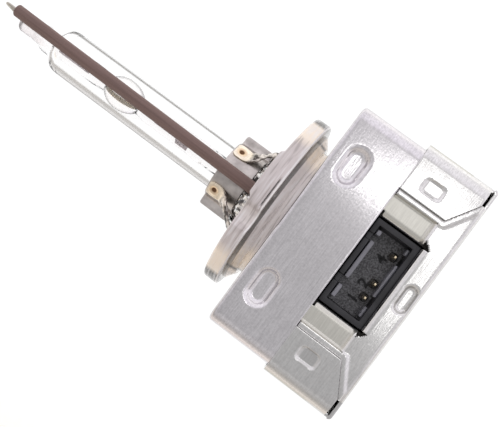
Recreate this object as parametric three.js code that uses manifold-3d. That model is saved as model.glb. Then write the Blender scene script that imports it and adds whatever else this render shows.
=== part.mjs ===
// Gas-discharge headlamp bulb with its igniter box, in millimetres, +Z up.
// The lamp lies on the flat back wall of its igniter box: that wall's centre is the origin.
// Inside the lamp group, x = 0 is the front face of the cap rim, the lamp axis is y = z = 0,
// +X runs to the tip of the burner and +Z comes out of the connector face.
import * as THREE from "three";
import { mergeVertices } from "three/addons/utils/BufferGeometryUtils.js";
import Module from "manifold-3d";

const wasm = await Module();
wasm.setup();

// ---------------------------------------------------------------- driving dimensions
const GAP = 0.3; // clearance between a piece and the hole or edge that it sits in
const SHEET = 0.5; // tinned steel of the igniter box
const PRESSED = 0.4; // sheet of the cap's pressed parts

// igniter box
const BOX_FRONT = -5.6;
const BOX_REAR = -28.5;
const CONNECTOR_FACE = 15.5; // top of the sheet around the connector
const BACK_FACE = -16.5; // outside of the wall that the lamp rests on
const SHIELD_HALF_WIDTH = 19.5;
const COVER_HALF_WIDTH = 20.4;
const BEND_RADIUS = 1.2;

// window for the connector
const WINDOW_FRONT = -16.6;
const WINDOW_REAR = -24.6;
const WINDOW_HALF_WIDTH = 7.6;
const ARM_HALF_WIDTH = 12.35; // where the folded flaps begin
const ARM_TOP = CONNECTOR_FACE - 0.7; // the arms tuck under the front shield
const LIP_DEPTH = 1.6;

// cap
const RIM_RADIUS = 16;
const RIM_THICKNESS = 2.65;
const CAP_REAR = -6.3;
const COLLAR_RADIUS = 12;
const WELL_RADIUS = 12.7;
const WELL_FLOOR = -1.3;
const BOSS_HEIGHT = 0.5;
const BOSS_ANGLE = 11; // degrees from the connector side, towards -Y
const NOTCH_ANGLE = -15;
const NOTCH_RADIUS = 2.2;

// burner
const GLASS_RADIUS = 3.94;
const GLASS_WALL = 1.0;
const GLASS_REAR = 1.0;
const SHANK_RADIUS = 1.75;
const SHANK_BORE = 1.0;
const TAIL_END = 51.8;
const ARC_CENTRE = 29.3;
const ARC_GAP = 4.2;
const CHAMBER_LENGTH = 8.8;
const CHAMBER_RADIUS = 2.8;
const CHAMBER_BORE = 1.45;
const ELECTRODE_RADIUS = 0.18;
const ELECTRODE_LENGTH = 5.0;
const FOIL_LENGTH = 7.0;
const FOIL_WIDTH = 1.0;
const FOIL_THICKNESS = 0.1;
const LEAD_RADIUS = 0.25;
const SLEEVE_HEIGHT = 7.3; // return wire and its ceramic sleeve, above the lamp axis
const SLEEVE_RADIUS = 1.05;
const SLEEVE_BORE = 0.5;
const SLEEVE_END = 50.0;
const RETURN_BEND = 52.6;

// clamp
const CLAMP_REAR = 2.5;
const CLAMP_FRONT = 8.0;
const CLAMP_RADIUS = GLASS_RADIUS + 0.45;
const WING_HALF_WIDTH = 6.9;
const LEG_ANGLE = 42; // degrees of each support leg from the plane between the clamp halves
const LEG_WIDTH = 2.6;

// inner plastic case and connector
const CASE_WALL = 1.2;
const CASE_FRONT = -6.5;
const CASE_REAR = -27.2;
const CASE_HALF_WIDTH = 18.3;
const CASE_TOP = 13.5;
const CASE_BOTTOM = -15.1;
const SOCKET_TOP = 14.2;
const SOCKET_FLOOR = 9.0;
const SOCKET_BASE = 7.4;
const PIN_X = -22.4;
const PIN_PITCH = 2.5;
const PIN_1_Y = 3.24;
const PIN_SIDE = 0.64;
const PIN_TOP = 12.2;
const TERMINAL_END = -11.5;
const TERMINAL_RADIUS = 0.9;
const BOARD = { x0: -26.4, x1: -9.6, wide: 15.4 };
const BOARD_BOTTOM = 3.6;
const BOARD_THICKNESS = 1.2;

// ignition transformer, along Y
const COIL_X = -14.6;
const COIL_Z = -6.2;
const COIL_HALF_LENGTH = 14;
const COIL_DIVIDER = 8.6; // near face of the wall between the two windings
const COIL_WALL = 1.0;
const FLANGE_RADIUS = 6.6;
const CORE_RADIUS = 2.6;

const CIRCLE = 32; // sides of a round piece
const PIN_NUMBERS = [1, 2, 4];
const X = new THREE.Vector3(1, 0, 0);
const Y = new THREE.Vector3(0, 1, 0);
const Z = new THREE.Vector3(0, 0, 1);

// ---------------------------------------------------------------- shapes
function box(x0, x1, y0, y1, z0, z1) {
  const geometry = new THREE.BoxGeometry(Math.abs(x1 - x0), Math.abs(y1 - y0), Math.abs(z1 - z0));
  return geometry.translate((x0 + x1) / 2, (y0 + y1) / 2, (z0 + z1) / 2);
}

// A turned piece on the X axis. The profile is [x, radius] pairs, outside from low x to high x.
function turned(profile, sides = CIRCLE) {
  const points = profile.map(([x, radius]) => new THREE.Vector2(radius, x));
  return new THREE.LatheGeometry(points, sides).rotateZ(-Math.PI / 2);
}

function rod(x0, x1, radius, sides = CIRCLE) {
  return turned([[x0, 0], [x0, radius], [x1, radius], [x1, 0]], sides);
}

function tube(x0, x1, bore, radius, sides = CIRCLE) {
  return turned([[x0, bore], [x0, radius], [x1, radius], [x1, bore], [x0, bore]], sides);
}

// Turns a piece made on the X axis so that it runs along Y, then moves it.
function alongY(geometry, x, z) {
  return geometry.rotateZ(Math.PI / 2).translate(x, 0, z);
}

// An outline in (y, z), drawn out along X.
function drawnAlongX(outline, x0, x1) {
  const settings = { depth: x1 - x0, bevelEnabled: false, curveSegments: 4 };
  const geometry = new THREE.ExtrudeGeometry(outline, settings);
  return geometry.applyMatrix4(new THREE.Matrix4().makeBasis(Y, Z, X)).translate(x0, 0, 0);
}

// An outline in (x, y), drawn up along Z.
function drawnAlongZ(outline, z0, z1) {
  const settings = { depth: z1 - z0, bevelEnabled: false, curveSegments: 6 };
  return new THREE.ExtrudeGeometry(outline, settings).translate(0, 0, z0);
}

function polygon(points) {
  return new THREE.Shape(points.map(([a, b]) => new THREE.Vector2(a, b)));
}

function roundedRectangle(a0, a1, b0, b1, radius) {
  const shape = new THREE.Shape();
  shape.moveTo(a0 + radius, b0);
  shape.lineTo(a1 - radius, b0);
  shape.absarc(a1 - radius, b0 + radius, radius, -Math.PI / 2, 0);
  shape.lineTo(a1, b1 - radius);
  shape.absarc(a1 - radius, b1 - radius, radius, 0, Math.PI / 2);
  shape.lineTo(a0 + radius, b1);
  shape.absarc(a0 + radius, b1 - radius, radius, Math.PI / 2, Math.PI);
  shape.lineTo(a0, b0 + radius);
  shape.absarc(a0 + radius, b0 + radius, radius, Math.PI, 1.5 * Math.PI);
  return shape;
}

// The outline of a bent strip of sheet whose middle line runs through the points.
function bentStrip(points, thickness) {
  const line = points.map(([a, b]) => new THREE.Vector2(a, b));
  const left = [];
  const right = [];
  line.forEach((point, i) => {
    const before = line[Math.max(i - 1, 0)];
    const after = line[Math.min(i + 1, line.length - 1)];
    const into = point.clone().sub(before).normalize();
    const out = after.clone().sub(point).normalize();
    const along = into.clone().add(out).normalize();
    const across = new THREE.Vector2(-along.y, along.x);
    const lean = i === 0 ? across.dot(normalOf(out)) : across.dot(normalOf(into));
    across.multiplyScalar(thickness / 2 / Math.max(lean, 0.5));
    left.push(point.clone().add(across));
    right.push(point.clone().sub(across));
  });
  const outline = [...left, ...right.reverse()];
  return THREE.ShapeUtils.isClockWise(outline) ? outline.reverse() : outline;
}

function normalOf(direction) {
  return new THREE.Vector2(-direction.y, direction.x);
}

// Points on an arc in the (a, b) plane, angles in degrees.
function arc(radius, from, to, steps, a = 0, b = 0) {
  return Array.from({ length: steps + 1 }, (_, i) => {
    const angle = THREE.MathUtils.degToRad(from + ((to - from) * i) / steps);
    return [a + radius * Math.cos(angle), b + radius * Math.sin(angle)];
  });
}

// ---------------------------------------------------------------- joining and cutting
function solid(geometry) {
  const bare = geometry.index ? geometry.toNonIndexed() : geometry.clone();
  bare.deleteAttribute("normal");
  bare.deleteAttribute("uv");
  const merged = mergeVertices(bare, 1e-4);
  const used = merged.index.array;
  const triVerts = [];
  for (let i = 0; i < used.length; i += 3) {
    const [a, b, c] = [used[i], used[i + 1], used[i + 2]];
    if (a !== b && b !== c && a !== c) triVerts.push(a, b, c);
  }
  return new wasm.Manifold(new wasm.Mesh({
    numProp: 3,
    vertProperties: new Float32Array(merged.attributes.position.array),
    triVerts: new Uint32Array(triVerts),
  }));
}

function geometryOf(manifold) {
  const mesh = manifold.getMesh();
  const geometry = new THREE.BufferGeometry();
  geometry.setAttribute("position", new THREE.BufferAttribute(mesh.vertProperties, 3));
  geometry.setIndex(new THREE.BufferAttribute(mesh.triVerts, 1));
  geometry.computeVertexNormals();
  return geometry;
}

function join(first, ...others) {
  return others.reduce((sum, each) => sum.add(solid(each)), solid(first));
}

function cut(body, ...tools) {
  return tools.reduce((rest, each) => rest.subtract(solid(each)), body);
}

// ---------------------------------------------------------------- burner
function arcTube() {
  const half = CHAMBER_LENGTH / 2;
  const shoulder = 3.4;
  const outside = arc(1, 180 - 28, 28, 12).map(([a, b]) => [ARC_CENTRE + half * a, CHAMBER_RADIUS * b]);
  const inside = arc(1, 18, 180 - 18, 10).map(([a, b]) => [
    ARC_CENTRE + shoulder * a,
    Math.max(CHAMBER_BORE * b, 0.45),
  ]);
  const start = GLASS_REAR - 3.2;
  return turned([
    [start, SHANK_BORE],
    [start, SHANK_RADIUS],
    [ARC_CENTRE - half, SHANK_RADIUS - 0.35],
    ...outside.filter(([, radius]) => radius > SHANK_RADIUS - 0.3),
    [ARC_CENTRE + half, SHANK_RADIUS - 0.35],
    [ARC_CENTRE + half + 2, SHANK_RADIUS],
    [TAIL_END - 0.6, SHANK_RADIUS],
    [TAIL_END, SHANK_RADIUS - 0.5],
    [TAIL_END, SHANK_BORE],
    [ARC_CENTRE + ARC_GAP / 2 + ELECTRODE_LENGTH - 0.2, SHANK_BORE],
    [ARC_CENTRE + ARC_GAP / 2 + ELECTRODE_LENGTH - 0.6, 0.45],
    ...inside,
    [ARC_CENTRE - ARC_GAP / 2 - ELECTRODE_LENGTH + 0.6, 0.45],
    [ARC_CENTRE - ARC_GAP / 2 - ELECTRODE_LENGTH + 0.2, SHANK_BORE],
    [start, SHANK_BORE],
  ]);
}

function outerBulb() {
  const bore = GLASS_RADIUS - GLASS_WALL;
  const throat = SHANK_RADIUS + 0.15;
  return turned([
    [GLASS_REAR - 1.6, throat],
    [GLASS_REAR - 1.6, throat + 0.9],
    [GLASS_REAR, GLASS_RADIUS - 0.6],
    [GLASS_REAR + 1, GLASS_RADIUS],
    [41.8, GLASS_RADIUS],
    [43.0, GLASS_RADIUS - 0.35],
    [44.2, 2.95],
    [45.4, 2.5],
    [47.4, 2.35],
    [48.2, throat],
    [46.0, throat],
    [43.6, 2.1],
    [42.6, bore - 0.25],
    [41.6, bore],
    [GLASS_REAR + 1.4, bore],
    [GLASS_REAR + 0.6, throat],
    [GLASS_REAR - 1.6, throat],
  ]);
}

function electrode(side) {
  const tip = ARC_CENTRE + (side * ARC_GAP) / 2;
  const foot = tip + side * ELECTRODE_LENGTH;
  return rod(Math.min(tip, foot), Math.max(tip, foot), ELECTRODE_RADIUS, 12);
}

function foil(side) {
  const near = ARC_CENTRE + side * (ARC_GAP / 2 + ELECTRODE_LENGTH + 0.1);
  const half = FOIL_WIDTH / 2;
  const thin = FOIL_THICKNESS / 2;
  const ends = [near, near + side * FOIL_LENGTH].sort((a, b) => a - b);
  const section = polygon([[-half, 0], [0, -thin], [half, 0], [0, thin]]);
  return drawnAlongX(section, ends[0], ends[1]);
}

function foilEnd(side) {
  return ARC_CENTRE + side * (ARC_GAP / 2 + ELECTRODE_LENGTH + FOIL_LENGTH + 0.2);
}

function saltDeposit() {
  const floor = solid(new THREE.SphereGeometry(1, 20, 12)
    .scale(3.0, CHAMBER_BORE - 0.12, CHAMBER_BORE - 0.12).translate(ARC_CENTRE, 0, 0));
  const slab = solid(box(ARC_CENTRE - 1.7, ARC_CENTRE + 1.7, 0.85, 2, -1, 1));
  return geometryOf(floor.intersect(slab));
}

// The wire out of the tail bends up to the sleeve and runs back through it to the base.
function returnWire() {
  const path = new THREE.CurvePath();
  const bend = 1.4;
  const corners = [
    new THREE.Vector3(RETURN_BEND, 0, LEAD_RADIUS + 0.05),
    new THREE.Vector3(RETURN_BEND, 0, SLEEVE_HEIGHT - bend),
    new THREE.Vector3(RETURN_BEND, 0, SLEEVE_HEIGHT),
    new THREE.Vector3(RETURN_BEND - bend, 0, SLEEVE_HEIGHT),
    new THREE.Vector3(CAP_REAR - 1, 0, SLEEVE_HEIGHT),
  ];
  path.add(new THREE.LineCurve3(corners[0], corners[1]));
  path.add(new THREE.QuadraticBezierCurve3(corners[1], corners[2], corners[3]));
  path.add(new THREE.LineCurve3(corners[3], corners[4]));
  const section = polygon(arc(LEAD_RADIUS, 0, 315, 7));
  return new THREE.ExtrudeGeometry(section, { steps: 60, extrudePath: path, bevelEnabled: false });
}

// ---------------------------------------------------------------- clamp and legs
function clampHalf(side) {
  const meet = PRESSED / 2 + 0.06;
  const start = THREE.MathUtils.radToDeg(Math.asin(meet / CLAMP_RADIUS)) + 6;
  const middle = [
    [WING_HALF_WIDTH, meet],
    [CLAMP_RADIUS + 0.4, meet],
    ...arc(CLAMP_RADIUS + PRESSED / 2, start, 180 - start, 14),
    [-CLAMP_RADIUS - 0.4, meet],
    [-WING_HALF_WIDTH, meet],
  ];
  const outline = new THREE.Shape(bentStrip(middle, PRESSED));
  const half = drawnAlongX(outline, CLAMP_REAR, CLAMP_FRONT);
  return side > 0 ? half : half.rotateX(Math.PI);
}

// A strap in the plane of the lamp axis: a tab on the clamp, a sloping strip and a foot on the cap.
function supportLeg() {
  const tab = CLAMP_RADIUS + PRESSED * 1.5 + 0.12;
  const foot = WELL_FLOOR + 0.1 + PRESSED * 1.5 + 0.08;
  const middle = [
    [CLAMP_FRONT - 0.2, tab],
    [CLAMP_REAR + 2.2, tab],
    [CLAMP_REAR + 1.4, tab + 0.35],
    [foot + 1.0, 9.1],
    [foot + 0.25, 9.6],
    [foot, 10.0],
    [foot, 11.5],
  ];
  const outline = new THREE.Shape(bentStrip(middle, PRESSED));
  return drawnAlongZ(outline, -LEG_WIDTH / 2, LEG_WIDTH / 2);
}

// Pressed ring with a raised bead around the burner, holed for the return wire's sleeve.
function carrierRing() {
  const flat = WELL_FLOOR + 0.1 + PRESSED / 2;
  const crown = 1.9;
  const middle = [
    [flat, 12.0],
    [flat, 9.0],
    [flat + 0.4, 8.6],
    [crown - 0.7, 7.4],
    [crown, 6.6],
    [crown, 6.1],
    [crown - 0.5, 5.8],
    [flat, 5.7],
  ];
  const outline = bentStrip(middle, PRESSED).reverse().map((point) => [point.x, point.y]);
  const ring = solid(turned([...outline, outline[0]]));
  return geometryOf(cut(ring, sleeveHole(-4, 4)));
}

function sleeveHole(x0, x1) {
  return rod(x0, x1, SLEEVE_RADIUS + GAP, 20).translate(0, 0, SLEEVE_HEIGHT);
}

// ---------------------------------------------------------------- cap
function capFlange() {
  const edge = 0.5;
  const body = solid(turned([
    [CAP_REAR, COLLAR_RADIUS],
    [-4.2, COLLAR_RADIUS],
    [-4.2, 12.9],
    [-RIM_THICKNESS - 0.2, 15.0],
    [-RIM_THICKNESS, RIM_RADIUS - edge],
    [-RIM_THICKNESS + edge, RIM_RADIUS],
    [-edge, RIM_RADIUS],
    [0, RIM_RADIUS - edge],
    [0, WELL_RADIUS],
    [WELL_FLOOR, WELL_RADIUS - GAP],
    [WELL_FLOOR, 5.2],
    [WELL_FLOOR - 2.2, 5.2],
    [WELL_FLOOR - 2.2, 10.6],
    [CAP_REAR, 10.6],
    [CAP_REAR, COLLAR_RADIUS],
  ], 48));
  let cap = body;
  for (const turn of [0, 120, 240]) {
    cap = cap.add(solid(referenceBoss(turn)));
  }
  return geometryOf(cut(cap, sleeveHole(-8, 1), rimNotch()));
}

// One of three raised pads that set the lamp's reference plane.
function referenceBoss(turn) {
  const span = 15;
  const outside = arc(RIM_RADIUS - 0.5, -span, span, 6);
  const inside = arc(WELL_RADIUS + 0.4, span, -span, 6);
  const pad = drawnAlongX(polygon([...outside, ...inside]), -0.4, BOSS_HEIGHT);
  return pad.rotateX(THREE.MathUtils.degToRad(90 + BOSS_ANGLE + turn));
}

function rimNotch() {
  const cutter = rod(-RIM_THICKNESS - 0.5, BOSS_HEIGHT + 0.5, NOTCH_RADIUS, 24);
  return cutter.translate(0, 0, RIM_RADIUS + 0.9).rotateX(THREE.MathUtils.degToRad(NOTCH_ANGLE));
}

// ---------------------------------------------------------------- shield and cover
// A rounded outline with its long axis along Y, each side drawn in by half the inset.
function hollowOutline({ x, y, length, width, corner }, inset) {
  const halfWidth = (width - inset) / 2;
  const halfLength = (length - inset) / 2;
  const radius = Math.min(corner, halfWidth - 0.01);
  return roundedRectangle(x - halfWidth, x + halfWidth, y - halfLength, y + halfLength, radius);
}

// A pressed-in hollow: the sheet is thickened below it and then hollowed from above.
function emboss(body, hollow, top, depth) {
  const pad = drawnAlongZ(hollowOutline(hollow, 0), top - SHEET - depth, top - SHEET / 2);
  const room = drawnAlongZ(hollowOutline(hollow, SHEET), top - depth, top + 1);
  return cut(body.add(solid(pad)), room);
}

const OVALS = [
  { x: -9.4, y: -10.9, length: 6.6, width: 4.0, corner: 2.0 },
  { x: -9.4, y: 10.9, length: 6.6, width: 4.0, corner: 2.0 },
];
const REAR_OVAL = { x: -26.75, y: 0, length: 4.9, width: 2.4, corner: 1.2 };
const FLAP_DIMPLE = { x: -20.6, y: 14.9, length: 3.3, width: 2.45, corner: 0.55 };
const OVAL_DEPTH = 0.7;
const DIMPLE_DEPTH = 0.25;

function frontShield() {
  const rear = BOX_REAR + SHEET + GAP;
  const wide = SHIELD_HALF_WIDTH;
  const outer = roundedRectangle(-wide, wide, BACK_FACE, CONNECTOR_FACE, BEND_RADIUS);
  const inner = roundedRectangle(
    -wide + SHEET, wide - SHEET, BACK_FACE + SHEET, CONNECTOR_FACE - SHEET, BEND_RADIUS - SHEET,
  );
  let shell = solid(drawnAlongX(outer, rear, BOX_FRONT));
  shell = cut(
    shell,
    drawnAlongX(inner, rear - 1, BOX_FRONT - SHEET),
    rod(BOX_FRONT - 1, BOX_FRONT + 1, COLLAR_RADIUS + GAP, 48),
    box(rear - 1, WINDOW_FRONT, -ARM_HALF_WIDTH, ARM_HALF_WIDTH, ARM_TOP, CONNECTOR_FACE + 1),
    box(rear - 1, WINDOW_REAR + GAP, -wide + SHEET, wide - SHEET, ARM_TOP, CONNECTOR_FACE + 1),
    box(rear - 1, WINDOW_REAR + GAP, -wide - 1, wide + 1, ARM_TOP - 1, CONNECTOR_FACE + 1),
  );
  for (const oval of OVALS) {
    shell = emboss(shell, oval, CONNECTOR_FACE, OVAL_DEPTH);
  }
  return geometryOf(shell);
}

// Side wall and the trapezoid flap folded from it over the front shield. Side is +1 or -1 in y.
function sideWall(side) {
  const top = CONNECTOR_FACE + GAP / 3;
  const outline = polygon([
    [WINDOW_FRONT, ARM_HALF_WIDTH],
    [WINDOW_FRONT, COVER_HALF_WIDTH],
    [BOX_REAR + 0.15, COVER_HALF_WIDTH],
    [BOX_REAR + 0.4, 17.5],
    [BOX_REAR + 1.0, 17.3],
    [WINDOW_REAR - 0.1, ARM_HALF_WIDTH],
  ].map(([x, y]) => [x, side * y]));
  const inside = side * (COVER_HALF_WIDTH - SHEET);
  const outside = side * COVER_HALF_WIDTH;
  const dimple = hollowOutline({ ...FLAP_DIMPLE, y: side * FLAP_DIMPLE.y }, 0);
  return cut(
    join(
      drawnAlongZ(outline, top, top + SHEET),
      box(BOX_REAR, WINDOW_FRONT, inside, outside, BACK_FACE + 0.6, top),
      box(BOX_REAR + SHEET, WINDOW_FRONT, inside, outside, top - 1, top + SHEET),
    ),
    drawnAlongZ(dimple, top + SHEET - DIMPLE_DEPTH, top + 2),
  );
}

// Rear plate and strip, with the arms and lips around the window.
function rearCover() {
  const wide = COVER_HALF_WIDTH;
  const stripHalf = SHIELD_HALF_WIDTH - SHEET - 0.1;
  const top = CONNECTOR_FACE;
  const lip = WINDOW_HALF_WIDTH;
  const lipBottom = top - LIP_DEPTH;
  const bottom = BACK_FACE + SHEET + 0.1;
  let cover = join(
    box(BOX_REAR, BOX_REAR + SHEET, -wide, wide, bottom, top - SHEET / 2),
    box(BOX_REAR, WINDOW_REAR, -stripHalf, stripHalf, top - SHEET, top),
    box(BOX_REAR, BOX_REAR + 4, -stripHalf + 1, stripHalf - 1, bottom, bottom + SHEET),
    box(WINDOW_REAR - SHEET, WINDOW_REAR, -lip, lip, lipBottom, top),
  );
  for (const side of [-1, 1]) {
    const armEnd = side * (ARM_HALF_WIDTH + 0.8);
    const armRear = WINDOW_REAR - GAP;
    cover = cover.add(sideWall(side)).add(join(
      box(armRear, WINDOW_FRONT + 1.6, side * lip, armEnd, ARM_TOP - SHEET, ARM_TOP),
      box(armRear, WINDOW_REAR, side * (lip + 0.6), armEnd, ARM_TOP - SHEET, top),
      box(WINDOW_REAR + 0.7, WINDOW_FRONT + 0.4, side * lip, side * (lip + SHEET), lipBottom, ARM_TOP),
    ));
  }
  return geometryOf(emboss(cover, REAR_OVAL, top, OVAL_DEPTH));
}

// ---------------------------------------------------------------- case and connector
function pinY(number) {
  return PIN_1_Y - (number - 1) * PIN_PITCH;
}

function igniterHousing() {
  const wide = CASE_HALF_WIDTH;
  const inside = wide - CASE_WALL;
  const floor = CASE_BOTTOM + CASE_WALL;
  const ceiling = CASE_TOP - CASE_WALL;
  const window = WINDOW_HALF_WIDTH + 0.1;
  const terminalHole = () => rod(CASE_FRONT - 3, CASE_FRONT + 1, TERMINAL_RADIUS + 0.6, 20);
  const outer = roundedRectangle(-wide, wide, CASE_BOTTOM, CASE_TOP, 1.2);
  return geometryOf(cut(
    solid(drawnAlongX(outer, CASE_REAR, CASE_FRONT)),
    box(CASE_REAR - 1, CASE_FRONT - CASE_WALL, -inside, inside, floor, ceiling),
    box(WINDOW_REAR - GAP, WINDOW_FRONT + GAP, -window, window, ceiling - 1, CASE_TOP + 1),
    terminalHole(),
    terminalHole().translate(0, 0, SLEEVE_HEIGHT),
  ));
}

// Black socket: a walled pocket with coding ribs on both long walls and one hole for each pin.
function connectorBody() {
  const front = WINDOW_FRONT - 0.2;
  const rear = WINDOW_REAR + 0.2;
  const wide = WINDOW_HALF_WIDTH - 0.2;
  const wall = 0.9;
  const ribFoot = SOCKET_FLOOR - 0.2;
  const ledge = SOCKET_FLOOR + 1.2;
  let body = cut(
    solid(box(rear, front, -wide, wide, SOCKET_BASE, SOCKET_TOP)),
    box(rear + wall, front - wall, -wide + wall, wide - wall, SOCKET_FLOOR, SOCKET_TOP + 1),
    box(rear - 1, front + 1, wide - 0.1, wide + 1, SOCKET_BASE - 1, ledge),
    box(rear - 1, front + 1, -wide - 1, -wide + 0.1, SOCKET_BASE - 1, ledge),
  );
  const frontRibs = [[-6.0, -5.0], [-3.9, 2.4], [3.7, 5.8]];
  for (const [y0, y1] of frontRibs) {
    const rib = box(front - wall - 0.6, front - wall + 0.2, y0, y1, ribFoot, SOCKET_TOP - 0.5);
    body = body.add(solid(rib));
  }
  const rearRibs = [[-6.3, -5.2], [-3.3, 2.4], [4.2, 6.0]];
  for (const [y0, y1] of rearRibs) {
    const rib = box(rear + wall - 0.2, rear + wall + 0.25, y0, y1, ribFoot, SOCKET_TOP - 1.2);
    body = body.add(solid(rib));
  }
  const holes = PIN_NUMBERS.map((number) => pinHole(pinY(number), SOCKET_BASE - 1, SOCKET_FLOOR + 1));
  return geometryOf(cut(body, ...holes));
}

function pinHole(y, z0, z1) {
  const half = PIN_SIDE / 2 + 0.15;
  return box(PIN_X - half, PIN_X + half, y - half, y + half, z0, z1);
}

// A square pin with a tapered tip.
function contactPin(number) {
  const half = PIN_SIDE / 2;
  const y = pinY(number);
  const point = 0.5;
  const bottom = BOARD_BOTTOM - 1.2;
  const shank = box(PIN_X - half, PIN_X + half, y - half, y + half, bottom, PIN_TOP - point);
  const tip = new THREE.CylinderGeometry(half * 0.75, half * Math.SQRT2, point, 4)
    .rotateY(Math.PI / 4)
    .rotateX(Math.PI / 2)
    .translate(PIN_X, y, PIN_TOP - point / 2);
  return geometryOf(join(shank, tip));
}

// ---------------------------------------------------------------- igniter circuit
function circuitBoard() {
  const { x0, x1, wide } = BOARD;
  const board = solid(box(x0, x1, -wide, wide, BOARD_BOTTOM, BOARD_BOTTOM + BOARD_THICKNESS));
  const holes = PIN_NUMBERS.map((number) => pinHole(pinY(number), BOARD_BOTTOM - 1, BOARD_BOTTOM + 2));
  return geometryOf(cut(board, ...holes));
}

const BARREL_RADIUS = CORE_RADIUS + 0.75;

function coilFormer() {
  const sleeve = CORE_RADIUS + 0.15;
  const half = COIL_HALF_LENGTH;
  const room = [
    [-half + COIL_WALL, COIL_DIVIDER],
    [COIL_DIVIDER + COIL_WALL, half - COIL_WALL],
  ];
  return turned([
    [-half, sleeve],
    [-half, FLANGE_RADIUS],
    ...room.flatMap(([from, to]) => [
      [from, FLANGE_RADIUS],
      [from, BARREL_RADIUS],
      [to, BARREL_RADIUS],
      [to, FLANGE_RADIUS],
    ]),
    [half, FLANGE_RADIUS],
    [half, sleeve],
    [-half, sleeve],
  ], 24);
}

function winding(from, to, radius) {
  const clear = 0.1;
  return tube(from + clear, to - clear, BARREL_RADIUS + clear, radius, 24);
}

const SPARK_GAP = { x: -24.0, z: -8.5, from: -13.0, length: 8.0, radius: 2.5, cap: 1.4 };

function sparkGapPart(from, to, radius) {
  return alongY(rod(from, to, radius, 20), SPARK_GAP.x, SPARK_GAP.z);
}

const RESISTOR = { x: -24.0, z: 0.9, radius: 1.2, from: 5, to: 12 };

const CAPACITOR = { x0: -26.6, x1: -21.9, y0: 0, y1: 13, z0: -13.2, z1: -3.2 };

function capacitor() {
  const { x0, x1, y0, y1, z0, z1 } = CAPACITOR;
  const outline = roundedRectangle(x0, x1, y0, y1, 0.8);
  return drawnAlongZ(outline, z0, z1);
}

// The fill keeps clear of the parts that it holds, and stays open where they reach its faces.
function pottingCompound() {
  const inside = CASE_HALF_WIDTH - CASE_WALL - 0.1;
  const clear = 0.15;
  const behind = CASE_REAR - 1;
  const front = CASE_FRONT - CASE_WALL - 0.4;
  const bottom = CASE_BOTTOM + CASE_WALL + 0.1;
  const fill = box(CASE_REAR + 0.4, front, -inside, inside, bottom, SOCKET_BASE - 0.2);
  const coilRoom = rod(-COIL_HALF_LENGTH - 1, COIL_HALF_LENGTH + 1, FLANGE_RADIUS + clear, 24);
  const terminalRoom = () => rod(TERMINAL_END - clear, CASE_FRONT, TERMINAL_RADIUS + clear, 16);
  const sparkGapEnd = SPARK_GAP.from + SPARK_GAP.length;
  const pinRooms = PIN_NUMBERS.map((number) => pinHole(pinY(number), BOARD_BOTTOM - 1.4, SOCKET_BASE));
  return geometryOf(cut(
    solid(fill),
    alongY(coilRoom, COIL_X, COIL_Z),
    sparkGapPart(SPARK_GAP.from - clear, sparkGapEnd + clear, SPARK_GAP.radius + clear),
    box(behind, SPARK_GAP.x, SPARK_GAP.from + 1, sparkGapEnd - 1, SPARK_GAP.z - 1, SPARK_GAP.z + 1),
    box(
      behind, CAPACITOR.x1 + clear,
      CAPACITOR.y0 - clear, CAPACITOR.y1 + clear,
      CAPACITOR.z0 - clear, CAPACITOR.z1 + clear,
    ),
    box(
      behind, RESISTOR.x + RESISTOR.radius + clear,
      RESISTOR.from - clear, RESISTOR.to + clear,
      RESISTOR.z - RESISTOR.radius - clear, RESISTOR.z + RESISTOR.radius + clear,
    ),
    box(
      behind, BOARD.x1 + clear,
      -BOARD.wide - clear, BOARD.wide + clear,
      BOARD_BOTTOM - clear, BOARD_BOTTOM + BOARD_THICKNESS + clear,
    ),
    terminalRoom(),
    terminalRoom().translate(0, 0, SLEEVE_HEIGHT),
    ...pinRooms,
  ));
}

function shieldContactSpring() {
  const middle = [
    [-15.5, 13.75],
    [-11.5, 13.75],
    [-10.0, 14.55],
    [-8.6, 14.55],
    [-7.9, 14.1],
  ];
  const outline = new THREE.Shape(bentStrip(middle, 0.2));
  const strip = new THREE.ExtrudeGeometry(outline, { depth: 3, bevelEnabled: false });
  return strip.rotateX(Math.PI / 2).translate(0, 1.5, 0);
}

// ---------------------------------------------------------------- materials
function material(colour, roughness, metalness, extra = {}) {
  return new THREE.MeshStandardMaterial({ color: colour, roughness, metalness, ...extra });
}

const tinnedSteel = material("#bcbabb", 0.32, 1);
const clampSteel = material("#8f8b88", 0.38, 1);
const strapSteel = material("#cdc6bb", 0.3, 1);
const brightSteel = material("#d8d6d4", 0.15, 1);
const amberPlastic = material("#d7c8b9", 0.25, 0, { transparent: true, opacity: 0.85 });
const blackPlastic = material("#323234", 0.5, 0);
const casePlastic = material("#46423d", 0.6, 0);
const quartz = material("#f4f6f8", 0.05, 0, { transparent: true, opacity: 0.3 });
const ceramic = material("#7a625d", 0.8, 0);
const tungsten = material("#77767a", 0.4, 1);
const molybdenum = material("#a9a6a3", 0.35, 1);
const nickel = material("#b5afa6", 0.3, 1);
const salt = material("#d9c48a", 0.7, 0);
const goldPlate = material("#c9a24e", 0.25, 1);
const brass = material("#b8924a", 0.35, 1);
const boardLaminate = material("#4d6b3f", 0.6, 0);
const ferrite = material("#3a3a3c", 0.75, 0);
const formerPlastic = material("#d8d2c4", 0.55, 0);
const copper = material("#b06a3c", 0.35, 1);
const sparkCeramic = material("#e6e2da", 0.5, 0);
const capacitorBlue = material("#3f6d9c", 0.45, 0);
const resistorBody = material("#b9a27c", 0.5, 0);
const potting = material("#5b5550", 0.8, 0);

// ---------------------------------------------------------------- assembly
const lamp = new THREE.Group();
lamp.position.set(-(BOX_FRONT + BOX_REAR) / 2, 0, -BACK_FACE);

function add(name, geometry, finish, parent = lamp) {
  const mesh = new THREE.Mesh(geometry, finish);
  mesh.name = name;
  parent.add(mesh);
  return mesh;
}

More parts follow.
